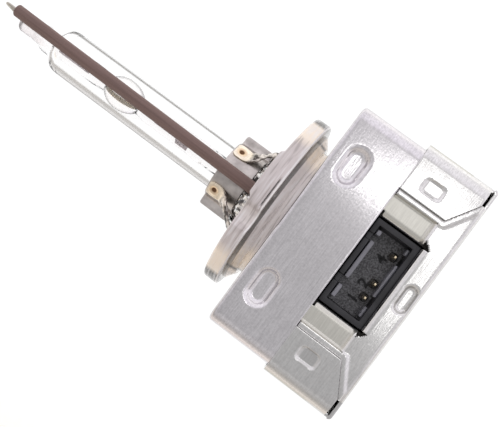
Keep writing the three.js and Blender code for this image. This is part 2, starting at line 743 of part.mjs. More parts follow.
add("arc_tube", arcTube(), quartz);
add("outer_bulb", outerBulb(), quartz);
add("front_electrode", electrode(1), tungsten);
add("rear_electrode", electrode(-1), tungsten);
add("front_foil", foil(1), molybdenum);
add("rear_foil", foil(-1), molybdenum);
add("front_lead", rod(foilEnd(1), RETURN_BEND + 0.3, LEAD_RADIUS, 12), nickel);
add("rear_lead", rod(CAP_REAR - 0.6, foilEnd(-1), LEAD_RADIUS, 12), nickel);
add("salt_deposit", saltDeposit(), salt);
add("return_wire", returnWire(), nickel);
add("ceramic_tube", tube(CAP_REAR + 3.2, SLEEVE_END, SLEEVE_BORE, SLEEVE_RADIUS, 20), ceramic)
  .position.set(0, 0, SLEEVE_HEIGHT);

add("clamp_upper", clampHalf(1), clampSteel);
add("clamp_lower", clampHalf(-1), clampSteel);
const legAngles = [LEG_ANGLE, 180 - LEG_ANGLE, 180 + LEG_ANGLE, -LEG_ANGLE];
legAngles.forEach((angle, i) => {
  const turn = new THREE.Group();
  turn.rotation.x = THREE.MathUtils.degToRad(angle);
  lamp.add(turn);
  add(`support_leg_${i + 1}`, supportLeg(), strapSteel, turn);
});
add("carrier_ring", carrierRing(), brightSteel);
add("cap_flange", capFlange(), amberPlastic);

add("front_shield", frontShield(), tinnedSteel);
add("rear_cover", rearCover(), tinnedSteel);
add("shield_contact_spring", shieldContactSpring(), brass);
add("igniter_housing", igniterHousing(), casePlastic);
add("connector_body", connectorBody(), blackPlastic);
for (const number of PIN_NUMBERS) {
  add(`contact_pin_${number}`, contactPin(number), goldPlate);
}

add("circuit_board", circuitBoard(), boardLaminate);
const coreEnd = COIL_HALF_LENGTH + 0.6;
const secondary = winding(-COIL_HALF_LENGTH + COIL_WALL, COIL_DIVIDER, FLANGE_RADIUS - 0.7);
const primary = winding(COIL_DIVIDER + COIL_WALL, COIL_HALF_LENGTH - COIL_WALL, FLANGE_RADIUS - 1.4);
add("ferrite_core", alongY(rod(-coreEnd, coreEnd, CORE_RADIUS, 24), COIL_X, COIL_Z), ferrite);
add("coil_former", alongY(coilFormer(), COIL_X, COIL_Z), formerPlastic);
add("secondary_winding", alongY(secondary, COIL_X, COIL_Z), copper);
add("primary_winding", alongY(primary, COIL_X, COIL_Z), copper);

const gapStart = SPARK_GAP.from;
const gapEnd = SPARK_GAP.from + SPARK_GAP.length;
const { cap: capLength, radius: gapRadius } = SPARK_GAP;
const sparkBody = sparkGapPart(gapStart + capLength + 0.1, gapEnd - capLength - 0.1, gapRadius - 0.2);
add("spark_gap_cap_left", sparkGapPart(gapStart, gapStart + capLength, gapRadius), brightSteel);
add("spark_gap_body", sparkBody, sparkCeramic);
add("spark_gap_cap_right", sparkGapPart(gapEnd - capLength, gapEnd, gapRadius), brightSteel);
add("storage_capacitor", capacitor(), capacitorBlue);
const resistor = rod(RESISTOR.from, RESISTOR.to, RESISTOR.radius, 16);
add("bleed_resistor", alongY(resistor, RESISTOR.x, RESISTOR.z), resistorBody);
const terminalBore = LEAD_RADIUS + 0.15;
add("high_voltage_terminal", tube(TERMINAL_END, CAP_REAR - 0.3, terminalBore, TERMINAL_RADIUS, 16), brass);
add("return_terminal", tube(TERMINAL_END, CAP_REAR + 1.2, terminalBore, TERMINAL_RADIUS, 16), brass)
  .position.set(0, 0, SLEEVE_HEIGHT);
add("potting_compound", pottingCompound(), potting);

const headlightBulb = new THREE.Group();
headlightBulb.add(lamp);

export default headlightBulb;
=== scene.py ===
import math

import bmesh
import bpy
from mathutils import Matrix, Vector
from mathutils.noise import noise


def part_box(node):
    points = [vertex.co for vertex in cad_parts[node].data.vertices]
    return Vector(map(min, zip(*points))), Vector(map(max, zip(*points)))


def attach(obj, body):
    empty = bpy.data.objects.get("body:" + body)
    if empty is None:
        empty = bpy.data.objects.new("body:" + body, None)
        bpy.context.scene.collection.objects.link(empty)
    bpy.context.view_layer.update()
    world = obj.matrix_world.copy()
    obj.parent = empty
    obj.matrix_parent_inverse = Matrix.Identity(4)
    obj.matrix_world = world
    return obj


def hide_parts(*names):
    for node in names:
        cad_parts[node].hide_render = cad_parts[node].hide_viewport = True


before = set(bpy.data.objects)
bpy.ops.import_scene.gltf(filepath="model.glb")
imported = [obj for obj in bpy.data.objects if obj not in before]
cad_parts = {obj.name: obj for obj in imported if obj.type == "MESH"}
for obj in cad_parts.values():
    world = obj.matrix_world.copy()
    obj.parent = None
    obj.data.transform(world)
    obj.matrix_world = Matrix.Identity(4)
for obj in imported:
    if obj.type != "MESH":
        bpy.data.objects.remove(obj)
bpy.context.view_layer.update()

# Sizes are in millimetres in the lamp's own frame: x = 0 at the front face of the cap rim,
# y = z = 0 on the lamp axis, +X to the tip and +Z out of the connector face. place() turns them
# into metres in the row frame, whose origin is read from the CAD nodes.
MM = 0.001
BOSS_HEIGHT = 0.5
cap_low, cap_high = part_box("cap_flange")
bulb_low, bulb_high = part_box("outer_bulb")
shield_low, shield_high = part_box("front_shield")
cover_low, cover_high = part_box("rear_cover")
socket_low, socket_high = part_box("connector_body")
AXIS = Vector((cap_high.x - BOSS_HEIGHT * MM, 0, (bulb_low.z + bulb_high.z) / 2))


def place(x, y, z):
    return AXIS + Vector((x, y, z)) * MM


def lamp_mm(point):
    return (point - AXIS) / MM


# Igniter box, read from the frame.
SHEET = 0.5
BOX_FRONT = lamp_mm(shield_high).x
SHIELD_WIDE = lamp_mm(shield_high).y
SHIELD_REAR = lamp_mm(shield_low).x
FACE = lamp_mm(shield_high).z
BACK = lamp_mm(shield_low).z
BOX_REAR = lamp_mm(cover_low).x
COVER_WIDE = lamp_mm(cover_high).y
FLAP_TOP = lamp_mm(cover_high).z
COVER_BOTTOM = BACK + SHEET + 0.1
WINDOW_FRONT = lamp_mm(cover_high).x - 1.6
WINDOW_REAR = -24.4
WINDOW_WIDE = 7.6
ARM_WIDE = 12.35
ARM_TOP = FACE - 0.7

# Cap and burner.
RIM_RADIUS = (cap_high.z - cap_low.z) / 2 / MM
RIM_THICKNESS = 2.65
CAP_REAR = lamp_mm(cap_low).x
COLLAR_RADIUS = 12.0
WELL_RADIUS = 12.7
WELL_FLOOR = -1.3
NOTCH_ANGLE = 15
NOTCH_CENTRE = RIM_RADIUS + 0.9
NOTCH_SIZE = 2.3
BOSS_ANGLES = (-11, 109, -131)
SLIT_ANGLE = -3
GROOVE_ANGLE = 3
GROOVE_FLOOR = 13.5
SLIT_FLOOR = 15.6
GLASS_RADIUS = (bulb_high.z - bulb_low.z) / 2 / MM + 0.12
GLASS_WALL = 1.0
SHANK_RADIUS = 1.75
TAIL_END = 51.8
ARC_CENTRE = 29.3
CHAMBER_HALF = 3.5
CHAMBER_RADIUS = 1.5
SLEEVE_HEIGHT = 7.3
SLEEVE_RADIUS = 1.05
SLEEVE_END = 50.0
SLEEVE_LEAN = -0.0095
WIRE_RADIUS = 0.24
WIRE_REACH = 52.6


# ---------------------------------------------------------------- mesh helpers
def around(count):
    """Angles that go once round in count steps."""
    return [2 * math.pi * i / count for i in range(count)]


def smoothstep(t):
    t = min(max(t, 0.0), 1.0)
    return t * t * (3 - 2 * t)


def spread(start, end, step):
    """Evenly spaced values from start to end, both included, about step apart."""
    count = max(1, round(abs(end - start) / step))
    return [start + (end - start) * i / count for i in range(count + 1)]


def lines(marks, step):
    """Grid lines through every mark, with no gap much wider than step."""
    marks = sorted(marks)
    found = [marks[0]]
    for a, b in zip(marks, marks[1:]):
        found += spread(a, b, step)[1:]
    return found


def fold(radius, steps=8):
    """(run, drop) along a quarter bend, from level to upright."""
    angles = [math.pi / 2 * i / steps for i in range(steps + 1)]
    return [(radius * math.sin(a), radius * (1 - math.cos(a))) for a in angles]


def as_mesh(bm, name, outward=True):
    """A new mesh from a bmesh, which is freed. outward turns its faces outward first."""
    if outward:
        bmesh.ops.recalc_face_normals(bm, faces=bm.faces)
    mesh = bpy.data.meshes.new(name)
    bm.to_mesh(mesh)
    bm.free()
    return mesh


class Sheet:
    """A surface made of quad strips that share their edge points."""

    def __init__(self):
        self.bm = bmesh.new()
        self.found = {}

    def vert(self, point):
        key = tuple(round(c * 2000) for c in point)
        if key not in self.found:
            self.found[key] = self.bm.verts.new(place(*point))
        return self.found[key]

    def face(self, *points):
        verts = []
        for point in points:
            vert = self.vert(point)
            if vert not in verts:
                verts.append(vert)
        if len(verts) > 2 and self.bm.faces.get(verts) is None:
            self.bm.faces.new(verts)

    def grid(self, rows, keep=None, closed=False):
        """rows of points; neighbouring rows are joined by quads. keep(centre) may drop a quad."""
        for a, b in zip(rows, rows[1:]):
            count = len(a) if closed else len(a) - 1
            for i in range(count):
                j = (i + 1) % len(a)
                corners = (a[i], a[j], b[j], b[i])
                centre = [sum(p[k] for p in corners) / 4 for k in range(3)]
                if keep is None or keep(centre):
                    self.face(*corners)

    def mesh(self, name):
        return as_mesh(self.bm, name)


def add_piece(name, mesh, material, node=None, sharp=30):
    """Links the mesh as a piece that rides on the root body and stands for its CAD node."""
    piece = bpy.data.objects.new(name, mesh)
    bpy.context.scene.collection.objects.link(piece)
    if not mesh.materials:
        mesh.materials.append(material)
    shade(mesh, sharp)
    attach(piece, "root")
    if node:
        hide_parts(node)
    return piece


def shade(mesh, sharp):
    mesh.polygons.foreach_set("use_smooth", [True] * len(mesh.polygons))
    mesh.set_sharp_from_angle(angle=math.radians(sharp))


def apply_modifiers(piece, sharp=30):
    """Turns the piece's modifiers into mesh and shades it again."""
    bpy.context.view_layer.update()
    graph = bpy.context.evaluated_depsgraph_get()
    made = bpy.data.meshes.new_from_object(piece.evaluated_get(graph))
    piece.modifiers.clear()
    piece.data = made
    shade(made, sharp)


def give_thickness(piece, thickness, offset=0):
    """Solidifies a surface about its middle, or inwards with an offset of -1."""
    solidify = piece.modifiers.new("Sheet", "SOLIDIFY")
    solidify.thickness = thickness * MM
    solidify.offset = offset
    return solidify


def thicken(piece, thickness, edge=0.05):
    """Gives a surface its sheet thickness, inwards, and breaks its cut edges."""
    give_thickness(piece, thickness, -1).use_even_offset = True
    soften(piece, edge, 45, 2)
    apply_modifiers(piece, 40)


def soften(piece, width, angle=35, segments=3):
    bevel = piece.modifiers.new("Edge", "BEVEL")
    bevel.width = width * MM
    bevel.segments = segments
    bevel.limit_method = "ANGLE"
    bevel.angle_limit = math.radians(angle)
    bevel.use_clamp_overlap = True


def turned_mesh(name, profile, sides=128, shape=None, closed=True, cavity=None):
    """A piece turned on the lamp axis. profile is (x, radius); shape(x, r, angle) may move a point."""
    shells = [profile] if cavity is None else [profile, cavity]
    bm = bmesh.new()
    for index, outline in enumerate(shells):
        rings = []
        for x, r in outline:
            if r < 1e-6:
                rings.append([bm.verts.new(place(x, 0, 0))])
                continue
            ring = []
            for angle in around(sides):
                px, pr = shape(x, r, angle) if shape else (x, r)
                ring.append(bm.verts.new(place(px, pr * math.cos(angle), pr * math.sin(angle))))
            rings.append(ring)
        pairs = list(zip(rings, rings[1:]))
        if closed and len(rings[0]) > 1:
            pairs.append((rings[-1], rings[0]))
        made = [face for a, b in pairs for face in join_rings(bm, a, b)]
        bmesh.ops.recalc_face_normals(bm, faces=made)
        if index == 1:
            bmesh.ops.reverse_faces(bm, faces=made)
    return as_mesh(bm, name, outward=False)


def join_rings(bm, a, b):
    if len(a) == 1 and len(b) == 1:
        return []
    if len(a) == 1:
        return [bm.faces.new((a[0], b[i], b[(i + 1) % len(b)])) for i in range(len(b))]
    if len(b) == 1:
        return [bm.faces.new((a[i], b[0], a[(i + 1) % len(a)])) for i in range(len(a))]
    return [bm.faces.new((a[i], a[(i + 1) % len(a)], b[(i + 1) % len(a)], b[i])) for i in range(len(a))]


def swept_mesh(name, path, radius, sides=16, rounding=0.3):
    """A round wire along a list of points, with rounded ends. radius may be a function of the share."""
    points = [Vector(p) for p in path]
    tangents = [(points[min(i + 1, len(points) - 1)] - points[max(i - 1, 0)]).normalized()
                for i in range(len(points))]
    across = tangents[0].orthogonal().normalized()
    bm = bmesh.new()
    rings = []
    for i, (point, tangent) in enumerate(zip(points, tangents)):
        across = (across - tangent * across.dot(tangent)).normalized()
        beside = tangent.cross(across)
        size = radius(i / (len(points) - 1)) if callable(radius) else radius
        stops = [(0, 1)]
        if i == 0:
            stops = [(-rounding, 0.35), (-rounding * 0.7, 0.75), (0, 1)]
        if i == len(points) - 1:
            stops = [(0, 1), (rounding * 0.7, 0.75), (rounding, 0.35)]
        for shift, share in stops:
            centre = point + tangent * size * shift
            ring = []
            for angle in around(sides):
                offset = across * math.cos(angle) + beside * math.sin(angle)
                ring.append(bm.verts.new(place(*(centre + offset * size * share))))
            rings.append(ring)
    for a, b in zip(rings, rings[1:]):
        join_rings(bm, a, b)
    bm.faces.new(rings[0])
    bm.faces.new(rings[-1])
    return as_mesh(bm, name)


def stepped_mesh(name, xs, ys, height, base):
    """A moulded block: each cell of the xs by ys grid stands from base to height(x, y)."""
    bm = bmesh.new()
    found = {}

    def vert(x, y, z):
        key = (round(x * 1000), round(y * 1000), round(z * 1000))
        if key not in found:
            found[key] = bm.verts.new(place(x, y, z))
        return found[key]

    tops = [[height((x0 + x1) / 2, (y0 + y1) / 2) for y0, y1 in zip(ys, ys[1:])]
            for x0, x1 in zip(xs, xs[1:])]
    levels = sorted({base, *(top for row in tops for top in row)})

    def solid(i, j, low):
        inside = 0 <= i < len(tops) and 0 <= j < len(tops[0])
        return inside and low < tops[i][j] - 1e-6

    def face(*corners):
        bm.faces.new([vert(*corner) for corner in corners])

    for i, (x0, x1) in enumerate(zip(xs, xs[1:])):
        for j, (y0, y1) in enumerate(zip(ys, ys[1:])):
            for low, high in zip(levels, levels[1:]):
                if not solid(i, j, low):
                    continue
                if not solid(i - 1, j, low):
                    face((x0, y0, low), (x0, y0, high), (x0, y1, high), (x0, y1, low))
                if not solid(i + 1, j, low):
                    face((x1, y0, low), (x1, y1, low), (x1, y1, high), (x1, y0, high))
                if not solid(i, j - 1, low):
                    face((x0, y0, low), (x1, y0, low), (x1, y0, high), (x0, y0, high))
                if not solid(i, j + 1, low):
                    face((x0, y1, low), (x0, y1, high), (x1, y1, high), (x1, y1, low))
                if not solid(i, j, high) or high == levels[-1]:
                    face((x0, y0, high), (x1, y0, high), (x1, y1, high), (x0, y1, high))
                if low == base:
                    face((x0, y0, base), (x0, y1, base), (x1, y1, base), (x1, y0, base))
    bmesh.ops.dissolve_limit(bm, angle_limit=math.radians(1), verts=bm.verts, edges=bm.edges)
    return as_mesh(bm, name)


# ---------------------------------------------------------------- materials
def fill_ramp(ramp, stops):
    """Sets a ramp to the stops (position, grey or colour), in rising order."""
    elements = ramp.elements
    elements.remove(elements[-1])
    for index, (position, value) in enumerate(stops):
        element = elements[0] if index == 0 else elements.new(position)
        element.position = position
        element.color = (value, value, value, 1) if isinstance(value, float) else (*value, 1)


class Finish:
    """A new node material, with the few node chains that the finishes share."""

    def __init__(self, name, colour, roughness, metallic=0.0):
        self.material = bpy.data.materials.new(name)
        self.material.use_nodes = True
        self.nodes = self.material.node_tree.nodes
        self.links = self.material.node_tree.links
        self.shader = self.nodes["Principled BSDF"]
        self.set("Base Color", (*colour, 1))
        self.set("Roughness", roughness)
        self.set("Metallic", metallic)
        self.coordinates = self.nodes.new("ShaderNodeTexCoord").outputs["Object"]

    def set(self, socket, value):
        self.shader.inputs[socket].default_value = value

    def noise(self, size, detail=3.0, stretch=(1, 1, 1), distortion=0.0):
        """Noise whose features are about size millimetres wide, times stretch along each axis."""
        mapping = self.nodes.new("ShaderNodeMapping")
        mapping.inputs["Scale"].default_value = [1 / (size * MM * s) for s in stretch]
        self.links.new(self.coordinates, mapping.inputs["Vector"])
        texture = self.nodes.new("ShaderNodeTexNoise")
        texture.inputs["Scale"].default_value = 1.0
        texture.inputs["Detail"].default_value = detail
        texture.inputs["Distortion"].default_value = distortion
        self.links.new(mapping.outputs["Vector"], texture.inputs["Vector"])
        return texture.outputs["Fac"]

    def ramp(self, factor, stops):
        """Colours or greys by factor: stops are (position, value or colour)."""
        node = self.nodes.new("ShaderNodeValToRGB")
        fill_ramp(node.color_ramp, stops)
        self.links.new(factor, node.inputs["Fac"])
        return node.outputs["Color"]

    def blend(self, factor, low, high):
        """A ramp over the middle of a noise's range."""
        return self.ramp(factor, [(0.3, low), (0.7, high)])

    def fade(self, value, start, end):
        """Smoothly 0 to 1 as value runs from start to end."""
        node = self.nodes.new("ShaderNodeMapRange")
        node.interpolation_type = "SMOOTHSTEP"
        node.inputs["From Min"].default_value = start
        node.inputs["From Max"].default_value = end
        self.links.new(value, node.inputs["Value"])
        return node.outputs["Result"]

    def vector(self, operation, first, second=None):
        node = self.nodes.new("ShaderNodeVectorMath")
        node.operation = operation
        self.links.new(first, node.inputs[0])
        if second is not None:
            node.inputs[1].default_value = second
        return node

    def near(self, points, radius, soft):
        """1 close to any of the points, falling to 0 at radius; points are in lamp millimetres."""
        total = None
        for point in points:
            distance = self.vector("DISTANCE", self.coordinates, place(*point)).outputs["Value"]
            share = self.fade(distance, radius * MM, (radius - soft) * MM)
            total = share if total is None else self.combine("MAXIMUM", total, share)
        return total

    def along(self, axis, start, end):
        """0 before start and 1 after end on one lamp axis, both in millimetres."""
        index = "XYZ".index(axis)
        split = self.nodes.new("ShaderNodeSeparateXYZ")
        self.links.new(self.coordinates, split.inputs[0])
        return self.fade(split.outputs[index], AXIS[index] + start * MM, AXIS[index] + end * MM)

    def from_axis(self, start, end):
        """0 inside the radius start and 1 outside end, both about the lamp axis."""
        offset = self.vector("SUBTRACT", self.coordinates, AXIS).outputs[0]
        across = self.vector("MULTIPLY", offset, (0, 1, 1)).outputs[0]
        return self.fade(self.vector("LENGTH", across).outputs["Value"], start * MM, end * MM)

    def aside(self, reach):
        """0 on the lamp's upright middle plane, rising to 1 at reach millimetres to either side."""
        offset = self.vector("SUBTRACT", self.coordinates, AXIS).outputs[0]
        across = self.vector("MULTIPLY", offset, (0, 1, 0)).outputs[0]
        share = self.nodes.new("ShaderNodeMapRange")
        share.inputs["From Max"].default_value = reach * MM
        self.links.new(self.vector("LENGTH", across).outputs["Value"], share.inputs["Value"])
        return share.outputs["Result"]

    def crevices(self, reach):
        """1 in the open, falling to 0 in corners, looking reach millimetres around."""
        node = self.nodes.new("ShaderNodeAmbientOcclusion")
        node.samples = 8
        node.inputs["Distance"].default_value = reach * MM
        return node.outputs["AO"]

    def by_angle(self, stops):
        """Colours by how steeply the surface is seen, from 0 face on to 1 at grazing."""
        weight = self.nodes.new("ShaderNodeLayerWeight")
        weight.inputs["Blend"].default_value = 0.5
        return self.ramp(weight.outputs["Facing"], stops)

    def feed(self, node, socket, value):
        """Sets a node's socket to a number or colour, or links an output to it."""
        if isinstance(value, (int, float)):
            node.inputs[socket].default_value = value
        elif isinstance(value, tuple):
            node.inputs[socket].default_value = (*value, 1)
        else:
            self.links.new(value, node.inputs[socket])

    def mix(self, factor, first, second):
        node = self.nodes.new("ShaderNodeMix")
        node.data_type = "RGBA"
        self.feed(node, 0, factor)
        self.feed(node, 6, first)
        self.feed(node, 7, second)
        return node.outputs[2]

    def combine(self, operation, a, b):
        node = self.nodes.new("ShaderNodeMath")
        node.operation = operation
        self.feed(node, 0, a)
        self.feed(node, 1, b)
        return node.outputs[0]

    def times(self, a, b):
        return self.combine("MULTIPLY", a, b)

    def bump(self, height, strength, depth):
        """Bump of a height whose full range is depth millimetres. A second call adds to the first."""
        node = self.nodes.new("ShaderNodeBump")
        node.inputs["Strength"].default_value = strength
        node.inputs["Distance"].default_value = depth * MM
        self.links.new(height, node.inputs["Height"])
        normal = self.shader.inputs["Normal"]
        if normal.is_linked:
            self.links.new(normal.links[0].from_socket, node.inputs["Normal"])
        self.links.new(node.outputs["Normal"], normal)

    def drive(self, socket, output):
        self.links.new(output, self.shader.inputs[socket])


def shade_of(grey):
    """Linear value of an 8-bit sRGB level."""
    level = grey / 255
    return level / 12.92 if level <= 0.04045 else ((level + 0.055) / 1.055) ** 2.4


def scaled(colour, share):
    return tuple(min(c * share, 1.0) for c in colour)


def srgb(red, green, blue):
    return (shade_of(red), shade_of(green), shade_of(blue))


ARM_TINT = srgb(206, 204, 194)


def rolled_steel(name, tint, roughness, arms=False):
    """Tinned sheet: fine rolling lines along Y, a dull grain, painted shade towards the front edge and
    painted shade in the deepest corners.

    arms adds what only the cover has: duller window arms, painted shade on the +Y side and painted shade in
    the flap dimples.
    """
    finish = Finish(name, tint, roughness, 1.0)
    streaks = finish.noise(0.17, 4.0, (1, 16, 1))
    grain = finish.noise(0.3, 3.0)
    clouds = finish.noise(5.0, 3.0)
    darker = scaled(tint, 0.66)
    lighter = scaled(tint, 1.18)
    streaked = finish.blend(streaks, darker, lighter)
    grained = finish.blend(grain, darker, lighter)
    clouded = finish.ramp(clouds, [(0.3, scaled(tint, 0.92)), (0.75, lighter)])
    surface = finish.mix(0.25, finish.mix(0.4, streaked, grained), clouded)
    gloss = finish.blend(streaks, roughness + 0.04, roughness - 0.03)
    if arms:
        lengthways = finish.along("X", WINDOW_REAR, WINDOW_REAR + 0.5)
        above = finish.along("Z", ARM_TOP - 0.4, ARM_TOP - 0.1)
        below = finish.along("Z", FACE - 0.2, FACE - 0.5)
        sunk = finish.times(lengthways, finish.times(above, below))
        streaked_tin = finish.blend(streaks, scaled(ARM_TINT, 0.85), ARM_TINT)
        surface = finish.mix(finish.times(sunk, 0.85), surface, streaked_tin)
        # painted shade: the +Y side of the cover is darkened a little
        surface = finish.mix(finish.times(finish.along("Y", 11.0, 14.0), 0.3), surface, darker)
        # painted shade: the floors of the flap dimples are darkened
        dimples = finish.near([(x, y, FLAP_TOP) for x, y in FLAP_DIMPLES], 1.5, 0.3)
        surface = finish.mix(finish.times(dimples, 0.45), surface, darker)
        gloss = finish.mix(sunk, gloss, (0.3, 0.3, 0.3))
    # painted shade: the face darkens towards its front edge, where it also grows grainier
    front_grain_and_shade = finish.times(finish.along("X", -8.2, -5.8), 0.5)
    surface = finish.mix(front_grain_and_shade, surface, finish.mix(0.5, grained, darker))
    # painted shade: ambient occlusion darkens the steel to near black in its corners and crevices
    painted_shade_mask = finish.ramp(finish.crevices(0.35), [(0.12, 0.0), (0.5, 1.0)])
    finish.drive("Base Color", finish.mix(painted_shade_mask, (0.03, 0.03, 0.032), surface))
    finish.drive("Roughness", gloss)
    finish.bump(streaks, 0.25, 0.02)
    finish.bump(grain, 0.22, 0.02)
    return finish.material


def plain_metal(name, tint, roughness, grain=0.4):
    finish = Finish(name, tint, roughness, 1.0)
    clouds = finish.noise(grain, 3.0)
    darker = scaled(tint, 0.8)
    finish.drive("Base Color", finish.blend(clouds, darker, tint))
    finish.drive("Roughness", finish.blend(clouds, roughness + 0.1, roughness))
    finish.bump(clouds, 0.15, 0.03)
    return finish.material


def clamp_steel():
    """Stainless strip with a cloudy tone and fine lines along its length."""
    finish = Finish("clamp_steel", srgb(170, 164, 160), 0.36, 1.0)
    lines_along = finish.noise(0.12, 3.0, (1, 18, 1))
    clouds = finish.noise(1.8, 3.0)
    base = finish.blend(clouds, srgb(166, 160, 156), srgb(210, 204, 199))
    finish.drive("Base Color", base)
    finish.drive("Roughness", finish.blend(lines_along, 0.42, 0.3))
    finish.bump(lines_along, 0.2, 0.015)
    return finish.material


def crimped_steel():
    """Bright pressing whose small folds catch light and dark, painted into its colour as flecks of reflection
    and shade.
    """
    finish = Finish("bright_steel", srgb(222, 220, 217), 0.12, 1.0)
    folds = finish.noise(0.7, 3.0)
    # painted reflection and shade: dark and bright flecks in the base colour
    finish.drive("Base Color", finish.ramp(folds, [(0.42, srgb(84, 83, 84)), (0.56, srgb(226, 224, 221))]))
    finish.bump(folds, 0.3, 0.1)
    return finish.material


def strap_steel():
    """Bright strap with straw and brown heat colours around its spot weld."""
    finish = Finish("strap_steel", srgb(214, 204, 186), 0.26, 1.0)
    wobble = finish.noise(1.0, 2.0)
    dull = finish.ramp(wobble, [(0.35, srgb(76, 70, 66)), (0.6, srgb(222, 214, 206))])
    cream = finish.blend(wobble, srgb(222, 210, 190), srgb(250, 240, 222))
    plain = finish.mix(finish.near(WELDS, 2.3, 0.9), dull, cream)
    straw = finish.near(WELDS, 1.25, 0.9)
    warm = finish.mix(finish.times(straw, 0.7), plain, srgb(214, 176, 128))
    core = finish.near(WELDS, 0.62, 0.3)
    finish.drive("Base Color", finish.mix(finish.times(core, 0.92), warm, srgb(92, 60, 38)))
    finish.drive("Roughness", finish.mix(core, (0.24,) * 3, (0.6,) * 3))
    finish.bump(wobble, 0.25, 0.05)
    return finish.material


def sleeve_quartz():
    """Clear quartz whose outside greys towards its edges by viewing angle, a painted shade for its dark
    outline, wider on the dim +Y side.
    """
    finish = Finish("quartz", (1, 1, 1), 0.0)
    finish.set("Transmission Weight", 1.0)
    finish.set("IOR", 1.458)
    clear = (1.0, 1.0, 1.0)
    line = (0.07, 0.06, 0.055)
    grey = (0.26, 0.24, 0.22)
    gap = (0.45, 0.42, 0.40)
    dim = (0.12, 0.11, 0.10)
    # painted shade: a dark outline by viewing angle, wider on the dim +Y side than on the -Y side
    dim_side_outline = finish.by_angle([
        (0.31, clear), (0.38, grey), (0.50, grey), (0.58, gap), (0.70, gap), (0.77, line), (1.0, line),
    ])
    thin = finish.by_angle([(0.49, clear), (0.58, dim), (0.69, dim), (0.80, clear)])
    edge = finish.mix(finish.along("Y", -1.0, 1.0), thin, dim_side_outline)
    outside = finish.from_axis(GLASS_RADIUS - 0.7, GLASS_RADIUS - 0.4)
    finish.drive("Base Color", finish.mix(outside, clear, edge))
    bloom = finish.noise(3.0, 3.0)
    finish.drive("Roughness", finish.ramp(bloom, [(0.55, 0.0), (0.75, 0.03)]))
    return finish.material


def burner_quartz():
    """Clear quartz painted greyer towards its edges by viewing angle, a painted shade: a dark outline round
    the chamber, fainter on the shank and tail, which is faintly pink.
    """
    finish = Finish("quartz_burner", (1, 1, 1), 0.0)
    finish.set("Transmission Weight", 1.0)
    finish.set("IOR", 1.458)
    clear = (1.0, 0.99, 0.985)
    # painted shade: the quartz greys towards its edges by viewing angle
    chamber = finish.by_angle([
        (0.45, clear), (0.56, (0.7, 0.68, 0.67)), (0.66, (0.2, 0.2, 0.19)), (0.9, (0.2, 0.2, 0.2)),
        (1.0, (0.5, 0.5, 0.5)),
    ])
    shank = finish.by_angle([(0.5, clear), (0.9, (0.93, 0.9, 0.9)), (1.0, (0.84, 0.8, 0.8))])
    tail = finish.by_angle([
        (0.0, (0.96, 0.93, 0.93)), (0.5, (0.87, 0.82, 0.82)), (0.95, (0.68, 0.63, 0.64)),
    ])
    bulge = finish.near([(ARC_CENTRE, 0, 0)], 5.0, 1.2)
    body = finish.mix(bulge, shank, chamber)
    finish.drive("Base Color", finish.mix(finish.along("X", 45.5, 47.0), body, tail))
    finish.drive("Roughness", finish.times(finish.along("X", 46.0, 48.5), 0.35))
    return finish.material


def amber_plastic():
    """Translucent moulding with painted light and shade: pearly on top, painted cream down its sides as light
    shining through, painted shade at its tips, undercut and corners, a painted highlight at the rim's rear
    edge and a faint painted glow on the cone.
    """
    finish = Finish("amber_plastic", srgb(182, 176, 174), 0.1)
    # The tones below paint light and shade: cream is painted light shining through the sides, dark is painted
    # shade at the tips.
    pearl, cream = srgb(209, 200, 198), srgb(254, 240, 222)
    shade_grey, dark = srgb(228, 220, 217), srgb(70, 67, 60)
    aside = finish.aside(RIM_RADIUS)
    rim = finish.ramp(aside, [(0.57, pearl), (0.68, cream), (0.86, cream), (0.90, dark)])
    cone = finish.ramp(aside, [(0.42, shade_grey), (0.55, cream), (0.71, cream), (0.74, dark), (0.77, cream)])
    tone = finish.mix(finish.from_axis(14.9, 15.3), cone, rim)
    # flow streaks along the rim, lighter and darker, as painted reflections
    flow = finish.noise(0.4, 2.0, (1, 14, 14))
    lighter = finish.ramp(flow, [(0.5, 0.0), (0.64, 0.45)])
    streaks = finish.ramp(flow, [(0.34, 0.4), (0.42, 0.0)])
    tone = finish.mix(streaks, finish.mix(lighter, tone, (0.92, 0.91, 0.92)), srgb(120, 113, 108))
    # painted shade in the undercut groove behind the rim
    undercut = finish.times(finish.along("X", -3.3, -3.1), finish.along("X", -2.6, -2.7))
    tone = finish.mix(finish.times(undercut, 0.75), tone, srgb(96, 90, 84))
    # painted highlight: a light band along the rounded rear edge of the rim
    edge = finish.times(finish.along("X", -2.66, -2.6), finish.along("X", -2.35, -2.45))
    tone = finish.mix(edge, tone, (0.95, 0.93, 0.92))
    # painted shade: ambient occlusion darkens the moulding in its corners and crevices
    painted_shade_mask = finish.ramp(finish.crevices(0.5), [(0.1, 0.0), (0.6, 1.0)])
    tone = finish.mix(painted_shade_mask, (0.06, 0.05, 0.045), tone)
    finish.drive("Base Color", tone)
    # painted glow: inside radius 14.4 the moulding emits its own tone, standing in for light carried through
    # the plastic
    finish.drive("Emission Color", tone)
    finish.drive("Emission Strength", finish.mix(finish.from_axis(14.4, 14.8), (0.11,) * 3, (0.0,) * 3))
    finish.set("Transmission Weight", 0.12)
    finish.set("IOR", 1.5)
    finish.drive("Coat Weight", finish.by_angle([(0.45, 0.6), (0.6, 0.0)]))
    finish.set("Coat Roughness", 0.03)
    finish.bump(finish.noise(0.8, 2.0), 0.08, 0.05)
    return finish.material


def moulded_plastic(name, colour, roughness, grain=0.18, strength=0.25):
    finish = Finish(name, colour, roughness)
    speckle = finish.noise(grain, 4.0)
    clouds = finish.noise(2.4, 2.0)
    lighter = tuple(min(c * 1.5 + 0.004, 1.0) for c in colour)
    finish.drive("Base Color", finish.ramp(clouds, [(0.3, colour), (0.75, lighter)]))
    finish.drive("Roughness", finish.blend(speckle, roughness + 0.12, roughness - 0.06))
    finish.bump(speckle, strength, 0.04)
    return finish.material


